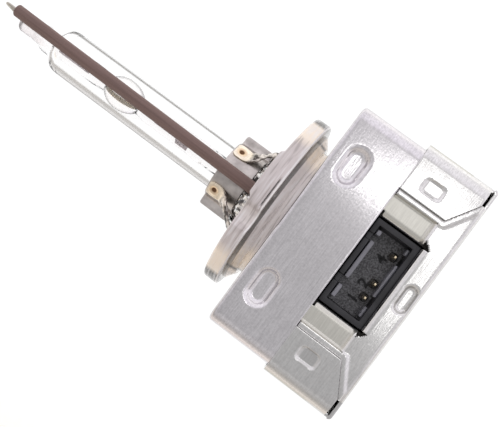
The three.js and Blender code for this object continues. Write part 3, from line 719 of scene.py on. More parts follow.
def connector_plastic():
    """Black moulding with a coarse texture on the socket floor, painted greyer there as painted light; the
    rim and the pin wells are painted darker as painted shade.
    """
    finish = Finish("black_plastic", srgb(34, 34, 37), 0.4)
    speckle = finish.noise(0.2, 4.0)
    # painted light on the socket floor's grey speckle, painted shade on the rim above it and near black in
    # the pin wells
    smooth = finish.ramp(finish.noise(2.4, 2.0), [(0.3, srgb(26, 26, 29)), (0.75, srgb(44, 44, 48))])
    coarse = finish.ramp(speckle, [(0.38, srgb(58, 58, 60)), (0.66, srgb(128, 128, 130))])
    raised = finish.along("Z", SOCKET_FLOOR + 0.1, SOCKET_FLOOR + 0.5)
    wells = finish.near([(PIN_X, y, SOCKET_FLOOR) for y in PINS.values()], 0.85, 0.25)
    textured = finish.mix(wells, coarse, srgb(10, 10, 11))
    finish.drive("Base Color", finish.mix(raised, textured, smooth))
    finish.drive("Roughness", finish.blend(speckle, 0.5, 0.32))
    finish.bump(speckle, 0.5, 0.05)
    return finish.material


def fired_ceramic():
    """Brown extruded sleeve: matt, with fine grain and faint lengthwise die lines."""
    finish = Finish("ceramic_brown", srgb(122, 98, 92), 0.72)
    grain = finish.noise(0.12, 4.0)
    die_lines = finish.noise(0.25, 2.0, (40, 1, 1))
    base = finish.blend(die_lines, srgb(108, 87, 81), srgb(123, 100, 94))
    finish.drive("Base Color", base)
    finish.drive("Roughness", finish.blend(grain, 0.82, 0.6))
    finish.bump(grain, 0.3, 0.02)
    return finish.material


def salt_film():
    """Pale yellow halide crust, thin enough to let light through."""
    finish = Finish("salt", srgb(238, 226, 200), 0.5)
    crust = finish.noise(0.35, 4.0)
    finish.drive("Base Color", finish.blend(crust, srgb(232, 214, 180), srgb(250, 242, 222)))
    finish.set("Transmission Weight", 0.25)
    finish.set("IOR", 1.2)
    finish.bump(crust, 0.4, 0.08)
    return finish.material


def wound_wire(name, colour):
    """Turns of enamelled wire around a former that runs along Y."""
    finish = Finish(name, colour, 0.3, 0.9)
    turns = finish.nodes.new("ShaderNodeTexWave")
    turns.bands_direction = "Y"
    turns.inputs["Scale"].default_value = 900
    finish.links.new(finish.coordinates, turns.inputs["Vector"])
    dark = scaled(colour, 0.45)
    finish.drive("Base Color", finish.ramp(turns.outputs["Fac"], [(0.2, dark), (0.7, colour)]))
    finish.bump(turns.outputs["Fac"], 0.6, 0.08)
    return finish.material


def studio_floor():
    """White paper lit from below: brighter far out on the window side, warmer on the other."""
    finish = Finish("studio_floor", (0.1, 0.1, 0.1), 0.9)
    paper = finish.noise(1.5, 2.0)
    finish.drive("Base Color", finish.blend(paper, 0.1, 0.13))
    window = finish.mix(finish.along("Y", -FLOOR_NEAR, -FLOOR_FAR), (1.0, 1.0, 1.0), (1.26, 1.24, 1.24))
    glow = finish.mix(finish.along("Y", FLOOR_NEAR, FLOOR_FAR), window, (0.98, 0.90, 0.83))
    finish.drive("Emission Color", glow)
    finish.set("Emission Strength", FLOOR_GLOW)
    return finish.material


# ---------------------------------------------------------------- igniter box
def racetrack_depth(x, y, centre_x, centre_y, length, width, depth, rim):
    """Depth of a pressed oval, long along Y, at (x, y)."""
    reach = (length - width) / 2
    dy = max(abs(y - centre_y) - reach, 0.0)
    inside = width / 2 - math.hypot(x - centre_x, dy)
    return depth * smoothstep(inside / rim)


def rounded_square_depth(x, y, centre_x, centre_y, length, width, depth, rim, corner=0.7):
    dx = abs(x - centre_x) - (width / 2 - corner)
    dy = abs(y - centre_y) - (length / 2 - corner)
    outside = math.hypot(max(dx, 0.0), max(dy, 0.0)) + min(max(dx, dy), 0.0)
    return depth * smoothstep((corner - outside) / rim)


# centres of the pressed shapes, then their length, width, depth and rim
FACE_OVALS = [(-9.4, -10.9), (-9.4, 10.8)]
FACE_OVAL_SIZE = (6.6, 4.0, 0.85, 1.05)
REAR_OVAL = (-26.85, 0.0)
REAR_OVAL_SIZE = (4.9, 2.5, 0.75, 0.65)
FLAP_DIMPLES = [(-20.6, -14.9), (-20.6, 14.9)]
FLAP_DIMPLE_SIZE = (2.45, 3.3, 0.28, 0.3)


def face_height(x, y):
    return FACE - sum(racetrack_depth(x, y, *spot, *FACE_OVAL_SIZE) for spot in FACE_OVALS)


def flap_height(x, y):
    return FLAP_TOP - sum(rounded_square_depth(x, y, *spot, *FLAP_DIMPLE_SIZE) for spot in FLAP_DIMPLES)


def bend_points(x, y, z, radius, start, end, steps=10):
    """Points along an arc about (y, z) at x, without its first. Angles run from +Y towards +Z."""
    angles = [math.radians(start + (end - start) * i / steps) for i in range(1, steps + 1)]
    return [(x, y + radius * math.cos(a), z + radius * math.sin(a)) for a in angles]


def front_shield():
    """Drawn can: front plate with the cap hole, four walls, and a cut-out for the connector."""
    corner = 2.2
    nose = 0.6
    wide = SHIELD_WIDE
    side = wide - corner
    window_end = WINDOW_REAR + 0.3
    across = lines([-side, -14.6, -ARM_WIDE, -6.5, 6.5, ARM_WIDE, 14.6, side], 0.3)

    def loop(inset, x):
        """The section's points at x, starting at the -Y end of the connector face."""
        r = corner - inset
        found = [(x, y, FACE - inset) for y in across]
        found += bend_points(x, side, FACE - corner, r, 90, 0)
        found += [(x, wide - inset, z) for z in spread(FACE - corner, BACK + corner, 2.0)[1:]]
        found += bend_points(x, side, BACK + corner, r, 0, -90)
        found += [(x, y, BACK + inset) for y in spread(side, -side, 2.0)[1:]]
        found += bend_points(x, -side, BACK + corner, r, -90, -180)
        found += [(x, -wide + inset, z) for z in spread(BACK + corner, FACE - corner, 2.0)[1:]]
        return found + bend_points(x, -side, FACE - corner, r, 180, 90)[:-1]

    def pressed(point):
        x, y, z = point
        return (x, y, face_height(x, y)) if z > FACE - 1e-6 else point

    def keep(centre):
        x, y, z = centre
        on_face = z > FACE - 1.0
        if on_face and x < WINDOW_FRONT and abs(y) < ARM_WIDE:
            return False
        return not (x < window_end and z > ARM_TOP - 1)

    stations = spread(SHIELD_REAR, window_end, 0.9)[:-1]
    stations += spread(window_end, WINDOW_FRONT, 0.9)[:-1]
    stations += spread(WINDOW_FRONT, BOX_FRONT - nose, 0.3)
    sheet = Sheet()
    rows = [[pressed(p) for p in loop(0, x)] for x in stations]
    sheet.grid(rows, keep, closed=True)
    bends = [loop(drop, BOX_FRONT - nose + run) for run, drop in fold(nose, 6)]
    bends[0] = rows[-1]
    sheet.grid(bends, closed=True)
    hole = COLLAR_RADIUS + 0.3
    edge = []
    for _, y, z in bends[-1]:
        length = math.hypot(y, z)
        edge.append((BOX_FRONT, hole * y / length, hole * z / length))
    plate = []
    for step in range(6):
        share = smoothstep(step / 5) if step else 0.0
        plate.append([tuple(a + (b - a) * share for a, b in zip(p, q)) for p, q in zip(bends[-1], edge)])
    sheet.grid(plate, closed=True)
    name = "front_shield_sheet"
    thicken(add_piece(name, sheet.mesh(name), STEEL, "front_shield"), SHEET)


SLANT_FROM = (WINDOW_REAR - 0.1, ARM_WIDE)
SLANT_TO = (-27.5, 17.3)
LEDGE_WIDE = 0.85
LEDGE_RISE = 0.2


def flap_edge(x):
    """Half width at which a folded flap ends, at x."""
    share = min(max((SLANT_FROM[0] - x) / (SLANT_FROM[0] - SLANT_TO[0]), 0.0), 1.0)
    return SLANT_FROM[1] + (SLANT_TO[1] - SLANT_FROM[1]) * share


def flap_gap(x, y):
    """How far (x, y) lies outside the flaps, negative underneath them."""
    run = Vector(SLANT_TO) - Vector(SLANT_FROM)
    away = Vector((-run.y, run.x)).normalized()
    slanted = (Vector((x, abs(y))) - Vector(SLANT_FROM)).dot(away)
    return max(ARM_WIDE - abs(y), slanted)


def rear_cover():
    """Folded sheet: rear plate, side walls with flaps, rear strip, arms and window lips."""
    bend = 0.8
    side_bend = 2.4
    upright = 0.6
    lip_bend = 1.0
    rise = FACE - bend
    wall_top = FLAP_TOP - side_bend
    strip_wide = 19.2
    strip_bent = 17.2
    slot_end = BOX_REAR + 1.15
    relief_in, relief_out = WINDOW_WIDE - 0.3, WINDOW_WIDE + lip_bend
    strip_start = BOX_REAR + bend
    relief_rear = WINDOW_REAR - lip_bend
    relief_front = WINDOW_REAR + 0.3
    jog = (WINDOW_REAR + 0.2, WINDOW_REAR + 1.0)
    arm_front = WINDOW_FRONT + 1.5
    arm_end = ARM_WIDE + 0.7
    sheet = Sheet()

    xs = lines([strip_start, relief_rear, relief_front, jog[1], WINDOW_FRONT - 0.4, arm_front], 0.2)
    halves = [relief_in, relief_out, ARM_WIDE - LEDGE_WIDE, ARM_WIDE, arm_end, strip_bent, strip_wide]
    ys = lines([-half for half in reversed(halves)] + halves, 0.2)

    def top(x, y):
        gap = flap_gap(x, y)
        ledge = smoothstep((LEDGE_WIDE + 0.25 - gap) / 0.25) * smoothstep((WINDOW_FRONT + 0.1 - x) / 0.2)
        climb = max(smoothstep((jog[1] - x) / (jog[1] - jog[0])), ledge)
        level = ARM_TOP + (FACE - ARM_TOP) * climb + LEDGE_RISE * ledge * smoothstep((gap + 0.05) / 0.1)
        return level - racetrack_depth(x, y, *REAR_OVAL, *REAR_OVAL_SIZE) - (0.04 if gap < 0 else 0.0)

    def keep(centre):
        x, y = centre[0], abs(centre[1])
        if x < relief_rear:
            return x > slot_end + 0.1 or y < strip_bent
        if x > relief_front:
            return relief_out < y < arm_end
        forward = (x - relief_rear) / (relief_front - relief_rear)
        outward = (y - relief_in) / (relief_out - relief_in)
        return outward > max(forward, 0.0) + 0.1

    sheet.grid([[(x, y, top(x, y)) for y in ys] for x in xs], keep)
    for side in (-1, 1):
        rows = []
        for x in [x for x in xs if relief_front - 1e-6 <= x <= WINDOW_FRONT - 0.4 + 1e-6]:
            level = top(x, side * relief_out)
            row = [(x, side * (relief_out - run), level - drop) for run, drop in fold(lip_bend)]
            row.append((x, side * (relief_out - lip_bend), level - lip_bend - 0.5))
            rows.append(row)
        sheet.grid(rows)
    rows = []
    for y in [y for y in ys if abs(y) <= relief_in + 1e-6]:
        row = [(relief_rear + run, y, FACE - drop) for run, drop in fold(lip_bend)]
        row[0] = (relief_rear, y, top(relief_rear, y))
        row.append((WINDOW_REAR, y, FACE - lip_bend - 0.6))
        rows.append(row)
    sheet.grid(rows)

    # bend from the strip down into the rear plate, then the plate and the side walls
    bent = [y for y in ys if abs(y) <= strip_bent + 1e-6]
    rows = []
    for y in bent:
        row = [(strip_start - run, y, FACE - drop) for run, drop in fold(bend)]
        row[0] = (strip_start, y, top(strip_start, y))
        rows.append(row)
    sheet.grid(rows)
    flat_half = COVER_WIDE - upright
    wall_marks = [BOX_REAR + upright, slot_end, SLANT_TO[0], SLANT_FROM[0], -21.9, -19.3, WINDOW_FRONT]
    wall_xs = lines(wall_marks, 0.25)
    right = [(BOX_REAR + drop, flat_half + run) for run, drop in fold(upright, 5)[:-1]]
    left = [(x, -y) for x, y in reversed(right)]
    outline = [(x, -COVER_WIDE) for x in reversed(wall_xs)] + left
    outline += [(BOX_REAR, y) for y in ys]
    outline += right + [(x, COVER_WIDE) for x in wall_xs]
    heights = [rise, wall_top] + spread(wall_top, COVER_BOTTOM + bend, 2.0)[1:]

    def below_bend(centre):
        return centre[2] < wall_top or centre[0] < BOX_REAR + upright

    sheet.grid([[(x, y, z) for x, y in outline] for z in heights], below_bend)
    rows = []
    for y in bent:
        row = [(BOX_REAR + drop, y, COVER_BOTTOM + bend - run) for run, drop in fold(bend)]
        row += [(BOX_REAR + bend + 1.4, y, COVER_BOTTOM), (BOX_REAR + bend + 2.8, y, COVER_BOTTOM)]
        rows.append(row)
    sheet.grid(rows)

    # flaps folded from the side walls over the front shield
    crest = COVER_WIDE - side_bend
    for side in (-1, 1):
        rows = []
        for x in [x for x in wall_xs if x > slot_end - 1e-6]:
            turned = [(x, COVER_WIDE, wall_top)] + bend_points(x, crest, wall_top, side_bend, 0, 90, 12)
            row = [(x, side * y, z) for _, y, z in turned]
            for share in [i / 36 for i in range(1, 37)]:
                y = crest + (flap_edge(x) - crest) * share
                row.append((x, side * y, flap_height(x, side * y)))
            rows.append(row)
        sheet.grid(rows)
    name = "rear_cover_sheet"
    thicken(add_piece(name, sheet.mesh(name), COVER_STEEL, "rear_cover"), SHEET, 0.1)


# ---------------------------------------------------------------- connector
SOCKET_TOP = lamp_mm(socket_high).z
SOCKET_BASE = lamp_mm(socket_low).z
SOCKET_FLOOR = 9.0
SOCKET_FRONT = lamp_mm(socket_high).x
SOCKET_REAR = lamp_mm(socket_low).x
SOCKET_WIDE = lamp_mm(socket_high).y
PINS = {number: 3.24 - 2.5 * (number - 1) for number in (1, 2, 4)}
PIN_X = -22.4
FIGURE_X = -21.2
FIGURES = {1: 4.3, 2: 1.5, 4: -3.0}


def connector_body():
    """Socket with a stepped rim, small wells around the pins, and guide ribs painted lighter as painted
    light.
    """
    wall = 0.9
    well = 0.6
    front_rib = (SOCKET_FRONT - wall - 0.9, SOCKET_FRONT - wall - 0.2)
    rear_rib = (SOCKET_REAR + wall, SOCKET_REAR + wall + 0.45)
    front_spans = [(-6.0, -5.2), (-4.1, 2.4), (3.7, 5.8)]
    rear_spans = [(-6.2, -5.2), (-3.3, 2.4), (4.2, 6.0)]
    inner_x = (SOCKET_REAR + wall, SOCKET_FRONT - wall)
    xs = {SOCKET_REAR, SOCKET_FRONT, *inner_x, PIN_X - well, PIN_X + well}
    ys = {-SOCKET_WIDE, SOCKET_WIDE, -SOCKET_WIDE + wall, SOCKET_WIDE - wall, -5.0, -3.9, 2.4, 3.7}
    for y in PINS.values():
        ys |= {y - well, y + well}

    def height(x, y):
        if abs(y) > SOCKET_WIDE - wall or x < inner_x[0]:
            return SOCKET_TOP
        if x > inner_x[1]:
            return SOCKET_TOP - (0.35 if -5.0 < y < -3.9 or 2.4 < y < 3.7 else 0.0)
        if abs(x - PIN_X) < well and any(abs(y - pin) < well for pin in PINS.values()):
            return SOCKET_FLOOR - 0.6
        return SOCKET_FLOOR

    mesh = stepped_mesh("connector_moulding", sorted(xs), sorted(ys), height, SOCKET_BASE)
    piece = add_piece("connector_moulding", mesh, BLACK, "connector_body")
    soften(piece, 0.2, 40, 3)
    apply_modifiers(piece, 50)
    guide_ribs("front", front_rib, front_spans, SOCKET_TOP - 0.5)
    guide_ribs("rear", rear_rib, rear_spans, SOCKET_TOP - 1.3)


def guide_ribs(row, rib, spans, top):
    """A row of bars across the socket, rib wide along X and one for each span along Y."""
    def level(x, y):
        return top

    for index, span in enumerate(spans, start=1):
        mesh = stepped_mesh("rib", rib, span, level, SOCKET_FLOOR - 0.05)
        bar = add_piece(f"socket_rib_{row}_{index}", mesh, RIB_PAINTED_LIGHT)
        soften(bar, 0.15, 40, 3)
        apply_modifiers(bar, 50)


def contact_pin(number):
    """Square gold-plated pin with a blunt four-sided point, standing in its own small recess."""
    y = PINS[number]
    half = 0.32
    low, high = [lamp_mm(corner).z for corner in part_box(f"contact_pin_{number}")]
    bm = bmesh.new()
    rings = []
    for z, size in ((low, half), (high - 0.5, half), (high - 0.05, half * 0.6), (high, half * 0.5)):
        rings.append([bm.verts.new(place(PIN_X + sx * size, y + sy * size, z))
                      for sx, sy in ((-1, -1), (1, -1), (1, 1), (-1, 1))])
    for a, b in zip(rings, rings[1:]):
        join_rings(bm, a, b)
    bm.faces.new(rings[0])
    bm.faces.new(rings[-1])
    mesh = as_mesh(bm, f"pin_{number}")
    piece = add_piece(f"pin_{number}", mesh, GOLD, f"contact_pin_{number}")
    soften(piece, 0.05, 30, 2)
    apply_modifiers(piece)


def way_number(number, y):
    """Raised figure on the socket floor beside its pin, read from the -X side."""
    curve = bpy.data.curves.new(f"way_{number}", "FONT")
    curve.body = str(number)
    curve.size = 2.3 * MM
    curve.extrude = 0.14 * MM
    curve.bevel_depth = 0.02 * MM
    curve.offset = 0.03 * MM
    curve.align_x = "CENTER"
    curve.align_y = "CENTER"
    text = bpy.data.objects.new("text", curve)
    bpy.context.scene.collection.objects.link(text)
    bpy.context.view_layer.update()
    graph = bpy.context.evaluated_depsgraph_get()
    mesh = bpy.data.meshes.new_from_object(text.evaluated_get(graph))
    bpy.data.objects.remove(text)
    # reading direction is -Y and the figure's top points to +X
    turn = Matrix(((0, 1, 0, 0), (-1, 0, 0, 0), (0, 0, 1, 0), (0, 0, 0, 1)))
    mesh.transform(Matrix.Translation(place(FIGURE_X, y, SOCKET_FLOOR + 0.12)) @ turn)
    mesh.materials.clear()
    add_piece(f"way_number_{number}", mesh, FIGURE_BLACK)


# ---------------------------------------------------------------- cap
def cap_flange():
    """Moulded cap ring: rim with reference notch and bosses, undercut, cone and collar."""
    profile = []

    def arc(cx, cr, radius, start, end, steps=5):
        for i in range(steps + 1):
            a = math.radians(start + (end - start) * i / steps)
            profile.append((cx + radius * math.cos(a), cr + radius * math.sin(a)))

    profile += [(CAP_REAR, COLLAR_RADIUS), (-5.0, COLLAR_RADIUS), (-4.25, COLLAR_RADIUS)]
    profile += [(-4.2, 12.1), (-4.2, 12.7)]
    arc(-3.95, 12.75, 0.25, 180, 120, 3)
    profile += [(-3.4, 13.9), (-3.18, 14.3), (-3.14, GROOVE_FLOOR), (-2.76, GROOVE_FLOOR), (-2.72, 14.9),
                (-2.72, 15.3)]
    arc(-RIM_THICKNESS + 0.35, RIM_RADIUS - 0.35, 0.35, 180, 90)
    profile += [(-2.26, RIM_RADIUS), (-2.22, SLIT_FLOOR), (-2.04, SLIT_FLOOR), (-2.0, RIM_RADIUS)]
    profile += [(-1.3, RIM_RADIUS), (-0.8, RIM_RADIUS)]
    arc(-0.45, RIM_RADIUS - 0.45, 0.45, 90, 0)
    profile += [(0, 15.2), (0, 14.4), (0, 13.6), (0, WELL_RADIUS + 0.3)]
    arc(-0.15, WELL_RADIUS + 0.15, 0.15, 0, -90, 3)
    profile += [(WELL_FLOOR + 0.2, WELL_RADIUS - 0.1), (WELL_FLOOR, WELL_RADIUS - 0.3), (WELL_FLOOR, 9.0),
                (WELL_FLOOR, 5.3), (WELL_FLOOR - 0.1, 5.2), (WELL_FLOOR - 2.2, 5.2), (WELL_FLOOR - 2.2, 10.6),
                (CAP_REAR, 10.6)]

    def from_top(angle):
        """Degrees from the connector side, positive towards +Y."""
        return (90 - math.degrees(angle) + 180) % 360 - 180

    def shape(x, r, angle):
        turn = from_top(angle)
        if r > 13.0 and x > -2.74:
            offset = math.radians(turn - NOTCH_ANGLE)
            across = NOTCH_CENTRE * math.sin(offset)
            if abs(offset) < 0.5 and abs(across) < NOTCH_SIZE:
                r = min(r, NOTCH_CENTRE * math.cos(offset) - math.sqrt(NOTCH_SIZE ** 2 - across ** 2))
        if r > WELL_RADIUS + 0.1 and x > -0.4:
            for boss in BOSS_ANGLES:
                off = abs((turn - boss + 180) % 360 - 180)
                rise = smoothstep((16.5 - off) / 3.0)
                x += BOSS_HEIGHT * rise * (1.0 if x > -0.2 else 0.6)
        if abs(r - SLIT_FLOOR) < 0.01:
            r += (RIM_RADIUS - SLIT_FLOOR) * (1 - smoothstep((10 - abs(turn - SLIT_ANGLE)) / 3))
        if abs(r - GROOVE_FLOOR) < 0.01:
            open_here = smoothstep((42 - abs(turn - GROOVE_ANGLE)) / 14)
            r += (14.35 - GROOVE_FLOOR) * (1 - open_here)
        return x, r

    mesh = turned_mesh("cap_ring", profile, 360, shape)
    add_piece("cap_ring", mesh, AMBER, "cap_flange", 50)


def carrier_ring():
    """Bright pressed ring around the burner. Its bead is slotted and a little uneven."""
    flat = WELL_FLOOR + 0.3
    line = [(flat, 12.0), (flat, 11.0), (flat, 10.0), (flat, 9.2), (flat + 0.15, 8.85), (flat + 0.7, 8.35),
            (0.2, 8.1), (0.9, 7.8), (1.5, 7.4), (1.95, 6.9), (2.05, 6.5), (2.0, 6.1), (1.5, 5.85),
            (0.6, 5.75), (flat, 5.7)]
    rows = []
    for x, r in line:
        row = []
        for angle in around(180):
            dent = noise(Vector((x * 1.6, math.cos(angle) * 11, math.sin(angle) * 11)))
            swell = (0.34 if r < 9 else 0.1) * dent
            row.append((x + swell, (r + swell) * math.cos(angle), (r + swell) * math.sin(angle)))
        rows.append(row)

    def keep(centre):
        return math.hypot(centre[1], centre[2] - SLEEVE_HEIGHT) > SLEEVE_RADIUS + 0.35

    sheet = Sheet()
    sheet.grid(rows, keep, closed=True)
    name = "carrier_ring_pressing"
    piece = add_piece(name, sheet.mesh(name), BRIGHT, "carrier_ring", 60)
    give_thickness(piece, 0.25)
    apply_modifiers(piece, 60)


# ---------------------------------------------------------------- clamp and legs
CLAMP_REAR = 2.5
CLAMP_FRONT = 8.0
CLAMP_SHEET = 0.4
STRAP_SHEET = 0.3
WELD_X = 6.6
TAB_NORMAL = Vector((0, 0.62, 0.785)).normalized()
TAB_ACROSS = Vector((0, 0.785, -0.62)).normalized()
TAB = Vector((0, 3.55, 3.55)) + TAB_NORMAL * 0.32
WELDS = [(WELD_X, sy * TAB.y, sz * TAB.z) for sy in (1, -1) for sz in (1, -1)]
# a strap's x, its shift from the tab in y and z, the direction across it and its half width
STRAP_LINE = [
    (CLAMP_FRONT - 0.25, 0, 0, TAB_ACROSS, 1.0),
    (WELD_X + 0.6, 0, 0, TAB_ACROSS, 1.35),
    (WELD_X - 0.7, 0, 0, TAB_ACROSS, 1.35),
    (5.1, 0.08, 0.06, TAB_ACROSS, 1.2),
    (4.3, 0.65, 0.35, (0.25, 0.7, -0.65), 1.0),
    (3.4, 1.5, 0.6, (0.3, 0.35, -0.9), 0.9),
    (2.3, 2.5, 0.9, (0.25, 0.25, -0.93), 0.9),
    (1.0, 3.4, 1.5, (0.1, 0.4, -0.9), 0.95),
    (-0.2, 3.9, 2.2, (0.0, 0.55, -0.84), 1.0),
    (-0.62, 4.5, 2.7, (0.0, 0.6, -0.8), 1.05),
    (-0.62, 5.6, 3.5, (0.0, 0.6, -0.8), 1.05),
]
CLAMP_LINE = [(6.9, 0.22), (5.5, 0.22), (5.15, 0.45), (4.95, 0.95), (4.75, 2.1), (4.45, 2.75), (3.9, 3.35),
              (2.75, 4.25), (2.0, 4.6), (1.0, 4.72), (0.0, 4.75)]


def clamp_half(side):
    """One half shell: flat wings and a faceted arch over the glass."""
    line = CLAMP_LINE + [(-y, z) for y, z in reversed(CLAMP_LINE[:-1])]
    sheet = Sheet()
    sheet.grid([[(x, y, side * z) for y, z in line] for x in spread(CLAMP_REAR, CLAMP_FRONT, 0.4)])
    half = "upper" if side > 0 else "lower"
    name = f"clamp_shell_{half}"
    piece = add_piece(name, sheet.mesh(name), CLAMP, f"clamp_{half}")
    subdivide = piece.modifiers.new("Round", "SUBSURF")
    subdivide.levels = subdivide.render_levels = 1
    give_thickness(piece, CLAMP_SHEET)
    soften(piece, 0.06, 45, 2)
    apply_modifiers(piece, 40)


def support_leg(index, side_y, side_z):
    """A strap: a dished, spot-welded tab on the clamp, a twisted strip and a foot on the cap."""
    stations = [
        (Vector((x, TAB.y + dy, TAB.z + dz)), Vector(across), half)
        for x, dy, dz, across, half in STRAP_LINE
    ]
    path = [between(stations, i, step / 6) for i in range(len(stations) - 1) for step in range(6)]
    path.append(stations[-1])
    weld = Vector((WELD_X, TAB.y, TAB.z))
    rows = []
    for order, (centre, across, half) in enumerate(path):
        row = []
        ahead = path[min(order + 1, len(path) - 1)][0] - path[max(order - 1, 0)][0]
        facing = across.cross(ahead).normalized()
        crease = smoothstep((4.6 - centre.x) / 0.8)
        for k in range(17):
            point = centre + across.normalized() * half * (k / 8 - 1)
            dent = 0.22 * noise(Vector((order * 0.35, k * 0.25, index * 7.0)))
            point = point + facing * crease * (dent + 0.12 * math.cos((k / 8 - 1) * math.pi))
            gap = (point - weld).length
            rim = smoothstep((1.05 - gap) / 0.25) * smoothstep((gap - 0.5) / 0.2)
            point = point - TAB_NORMAL * 0.16 * smoothstep((0.62 - gap) / 0.35) + TAB_NORMAL * 0.05 * rim
            row.append((point.x, side_y * point.y, side_z * point.z))
        rows.append(row)
    sheet = Sheet()
    sheet.grid(rows)
    name = f"leg_strap_{index}"
    piece = add_piece(name, sheet.mesh(name), STRAP, f"support_leg_{index}", 50)
    give_thickness(piece, STRAP_SHEET)
    soften(piece, 0.05, 45, 2)
    apply_modifiers(piece, 40)


def between(stations, i, share):
    """Catmull-Rom point between two stations of (centre, across, half width)."""
    picks = [stations[min(max(i + k, 0), len(stations) - 1)] for k in (-1, 0, 1, 2)]

    def blend(values):
        a, b, c, d = values
        t = share
        return 0.5 * (2 * b + (c - a) * t + (2 * a - 5 * b + 4 * c - d) * t ** 2
                      + (3 * b - 3 * c + d - a) * t ** 3)

    return tuple(blend([pick[k] for pick in picks]) for k in range(3))


# ---------------------------------------------------------------- burner
def rounded(profile, radius=0.35, steps=4):
    """Rounds the corners of an open (x, r) outline."""
    found = [profile[0]]
    for before, corner, after in zip(profile, profile[1:], profile[2:]):
        a, b, c = Vector(before), Vector(corner), Vector(after)
        reach = min(radius, (a - b).length * 0.45, (c - b).length * 0.45)
        start = b + (a - b).normalized() * reach
        end = b + (c - b).normalized() * reach
        for i in range(steps + 1):
            t = i / steps
            found.append(tuple(start * (1 - t) ** 2 + b * 2 * t * (1 - t) + end * t ** 2))
    return found + [profile[-1]]


def outer_bulb():
    """Quartz sleeve, closed onto the burner's shanks at both ends."""
    bore = GLASS_RADIUS - GLASS_WALL
    snug = SHANK_RADIUS + 0.01
    outside = [(-0.6, snug + 0.5), (0.6, GLASS_RADIUS - 0.5), (1.8, GLASS_RADIUS), (41.9, GLASS_RADIUS),
               (43.0, GLASS_RADIUS - 0.25), (43.6, 2.95), (44.3, 2.5), (45.6, 2.42), (46.6, 2.2),
               (47.4, 1.95), (48.6, snug + 0.06), (48.9, snug)]
    inside = [(48.4, snug), (44.2, snug), (43.3, 2.2), (42.4, bore - 0.35), (41.5, bore), (2.4, bore),
              (1.2, 2.2), (0.8, snug), (-0.6, snug)]
    profile = rounded(outside, 0.9, 6) + rounded(inside, 0.7, 5)

    def shape(x, r, angle):
        """Hand-worked quartz: the necked end is a little uneven."""
        uneven = 0.07 * noise(Vector((x * 0.8, math.cos(angle) * 1.5, math.sin(angle) * 1.5)))
        return x, r + uneven * smoothstep((x - 42.5) / 1.5) * smoothstep((48.3 - x) / 0.6)

    mesh = turned_mesh("quartz_sleeve", profile, 128, shape)
    add_piece("quartz_sleeve", mesh, QUARTZ, "outer_bulb", 60)


def arc_tube():
    """Burner: solid shanks, a bulge around the discharge chamber and a drawn tail."""
    half, bulge = 3.85, 2.9
    outside = [(-2.2, 0.0), (-2.2, SHANK_RADIUS - 0.2), (-2.0, SHANK_RADIUS)]
    outside += [(13 + 1.1 * t, SHANK_RADIUS + 0.22 * math.cos(t * math.pi / 2)) for t in spread(-1, 1, 0.2)]
    outside += [(ARC_CENTRE - half - 1.6, SHANK_RADIUS), (ARC_CENTRE - half - 0.4, SHANK_RADIUS - 0.2)]
    for i in range(3, 30):
        a = math.pi * (1 - i / 32)
        outside.append((ARC_CENTRE + half * math.cos(a), max(bulge * math.sin(a), SHANK_RADIUS - 0.25)))
    outside += [(ARC_CENTRE + half + 0.4, SHANK_RADIUS - 0.2), (ARC_CENTRE + half + 1.6, SHANK_RADIUS)]
    outside += [(TAIL_END - 0.5, SHANK_RADIUS), (TAIL_END - 0.15, SHANK_RADIUS - 0.2),
                (TAIL_END, SHANK_RADIUS - 0.6), (TAIL_END - 0.1, 0.6), (TAIL_END - 0.3, 0.0)]
    cavity = [(ARC_CENTRE - CHAMBER_HALF, 0.0)]
    for i in range(1, 24):
        a = math.pi * (1 - i / 24)
        cavity.append((ARC_CENTRE + CHAMBER_HALF * math.cos(a), CHAMBER_RADIUS * math.sin(a) ** 0.8))
    cavity.append((ARC_CENTRE + CHAMBER_HALF, 0.0))
    mesh = turned_mesh("quartz_burner", outside, 96, closed=False, cavity=cavity)
    add_piece("quartz_burner", mesh, QUARTZ_BURNER, "arc_tube", 60)


def burner_insides():
    """Electrodes, foils, leads and the salt pool, sealed in the quartz."""
    def electrode_radius(share):
        """The ball at the tip, then the rod."""
        return 0.2 if share < 0.15 else 0.15

    for side, name in ((1, "front"), (-1, "rear")):
        tip = ARC_CENTRE + side * 2.1
        foot = ARC_CENTRE + side * 7.6
        path = [(x, 0, 0) for x in spread(tip, foot, 0.5)]
        rod = f"{name}_tungsten"
        add_piece(rod, swept_mesh(rod, path, electrode_radius), TUNGSTEN, f"{name}_electrode")
        foil_sheet(side, name)
    axis_wire("tail_wire", "front_lead", 43.4, WIRE_REACH, 0.5)
    axis_wire("base_wire", "rear_lead", -6.9, 15.4, 0.6)
    salt_pool()


def axis_wire(name, node, start, end, step):
    mesh = swept_mesh(name, [(x, 0, 0) for x in spread(start, end, step)], WIRE_RADIUS)
    add_piece(name, mesh, NICKEL, node)


def foil_sheet(side, name):
    """Feather-edged molybdenum ribbon. The base one ends in a wider tab where its lead is welded."""
    start, length, half = 7.2, 7.2, 0.5
    tab_from, tab_half = 0.64, 1.0
    sheet = Sheet()
    rows = []
    for i in range(41):
        share = i / 40
        x = ARC_CENTRE + side * (start + length * share)
        widen = smoothstep((share - tab_from) / 0.03) if side < 0 else 0.0
        wide = half + (tab_half - half) * widen
        curl = 0.03 * math.sin(i * 0.9)
        rows.append([(x, wide * (k / 8 - 1), curl + 0.04 * (k / 8 - 1) ** 2) for k in range(17)])
    sheet.grid(rows)
    piece = add_piece(f"{name}_ribbon", sheet.mesh(f"{name}_ribbon"), MOLY, f"{name}_foil")
    give_thickness(piece, 0.05, -1)
    apply_modifiers(piece)


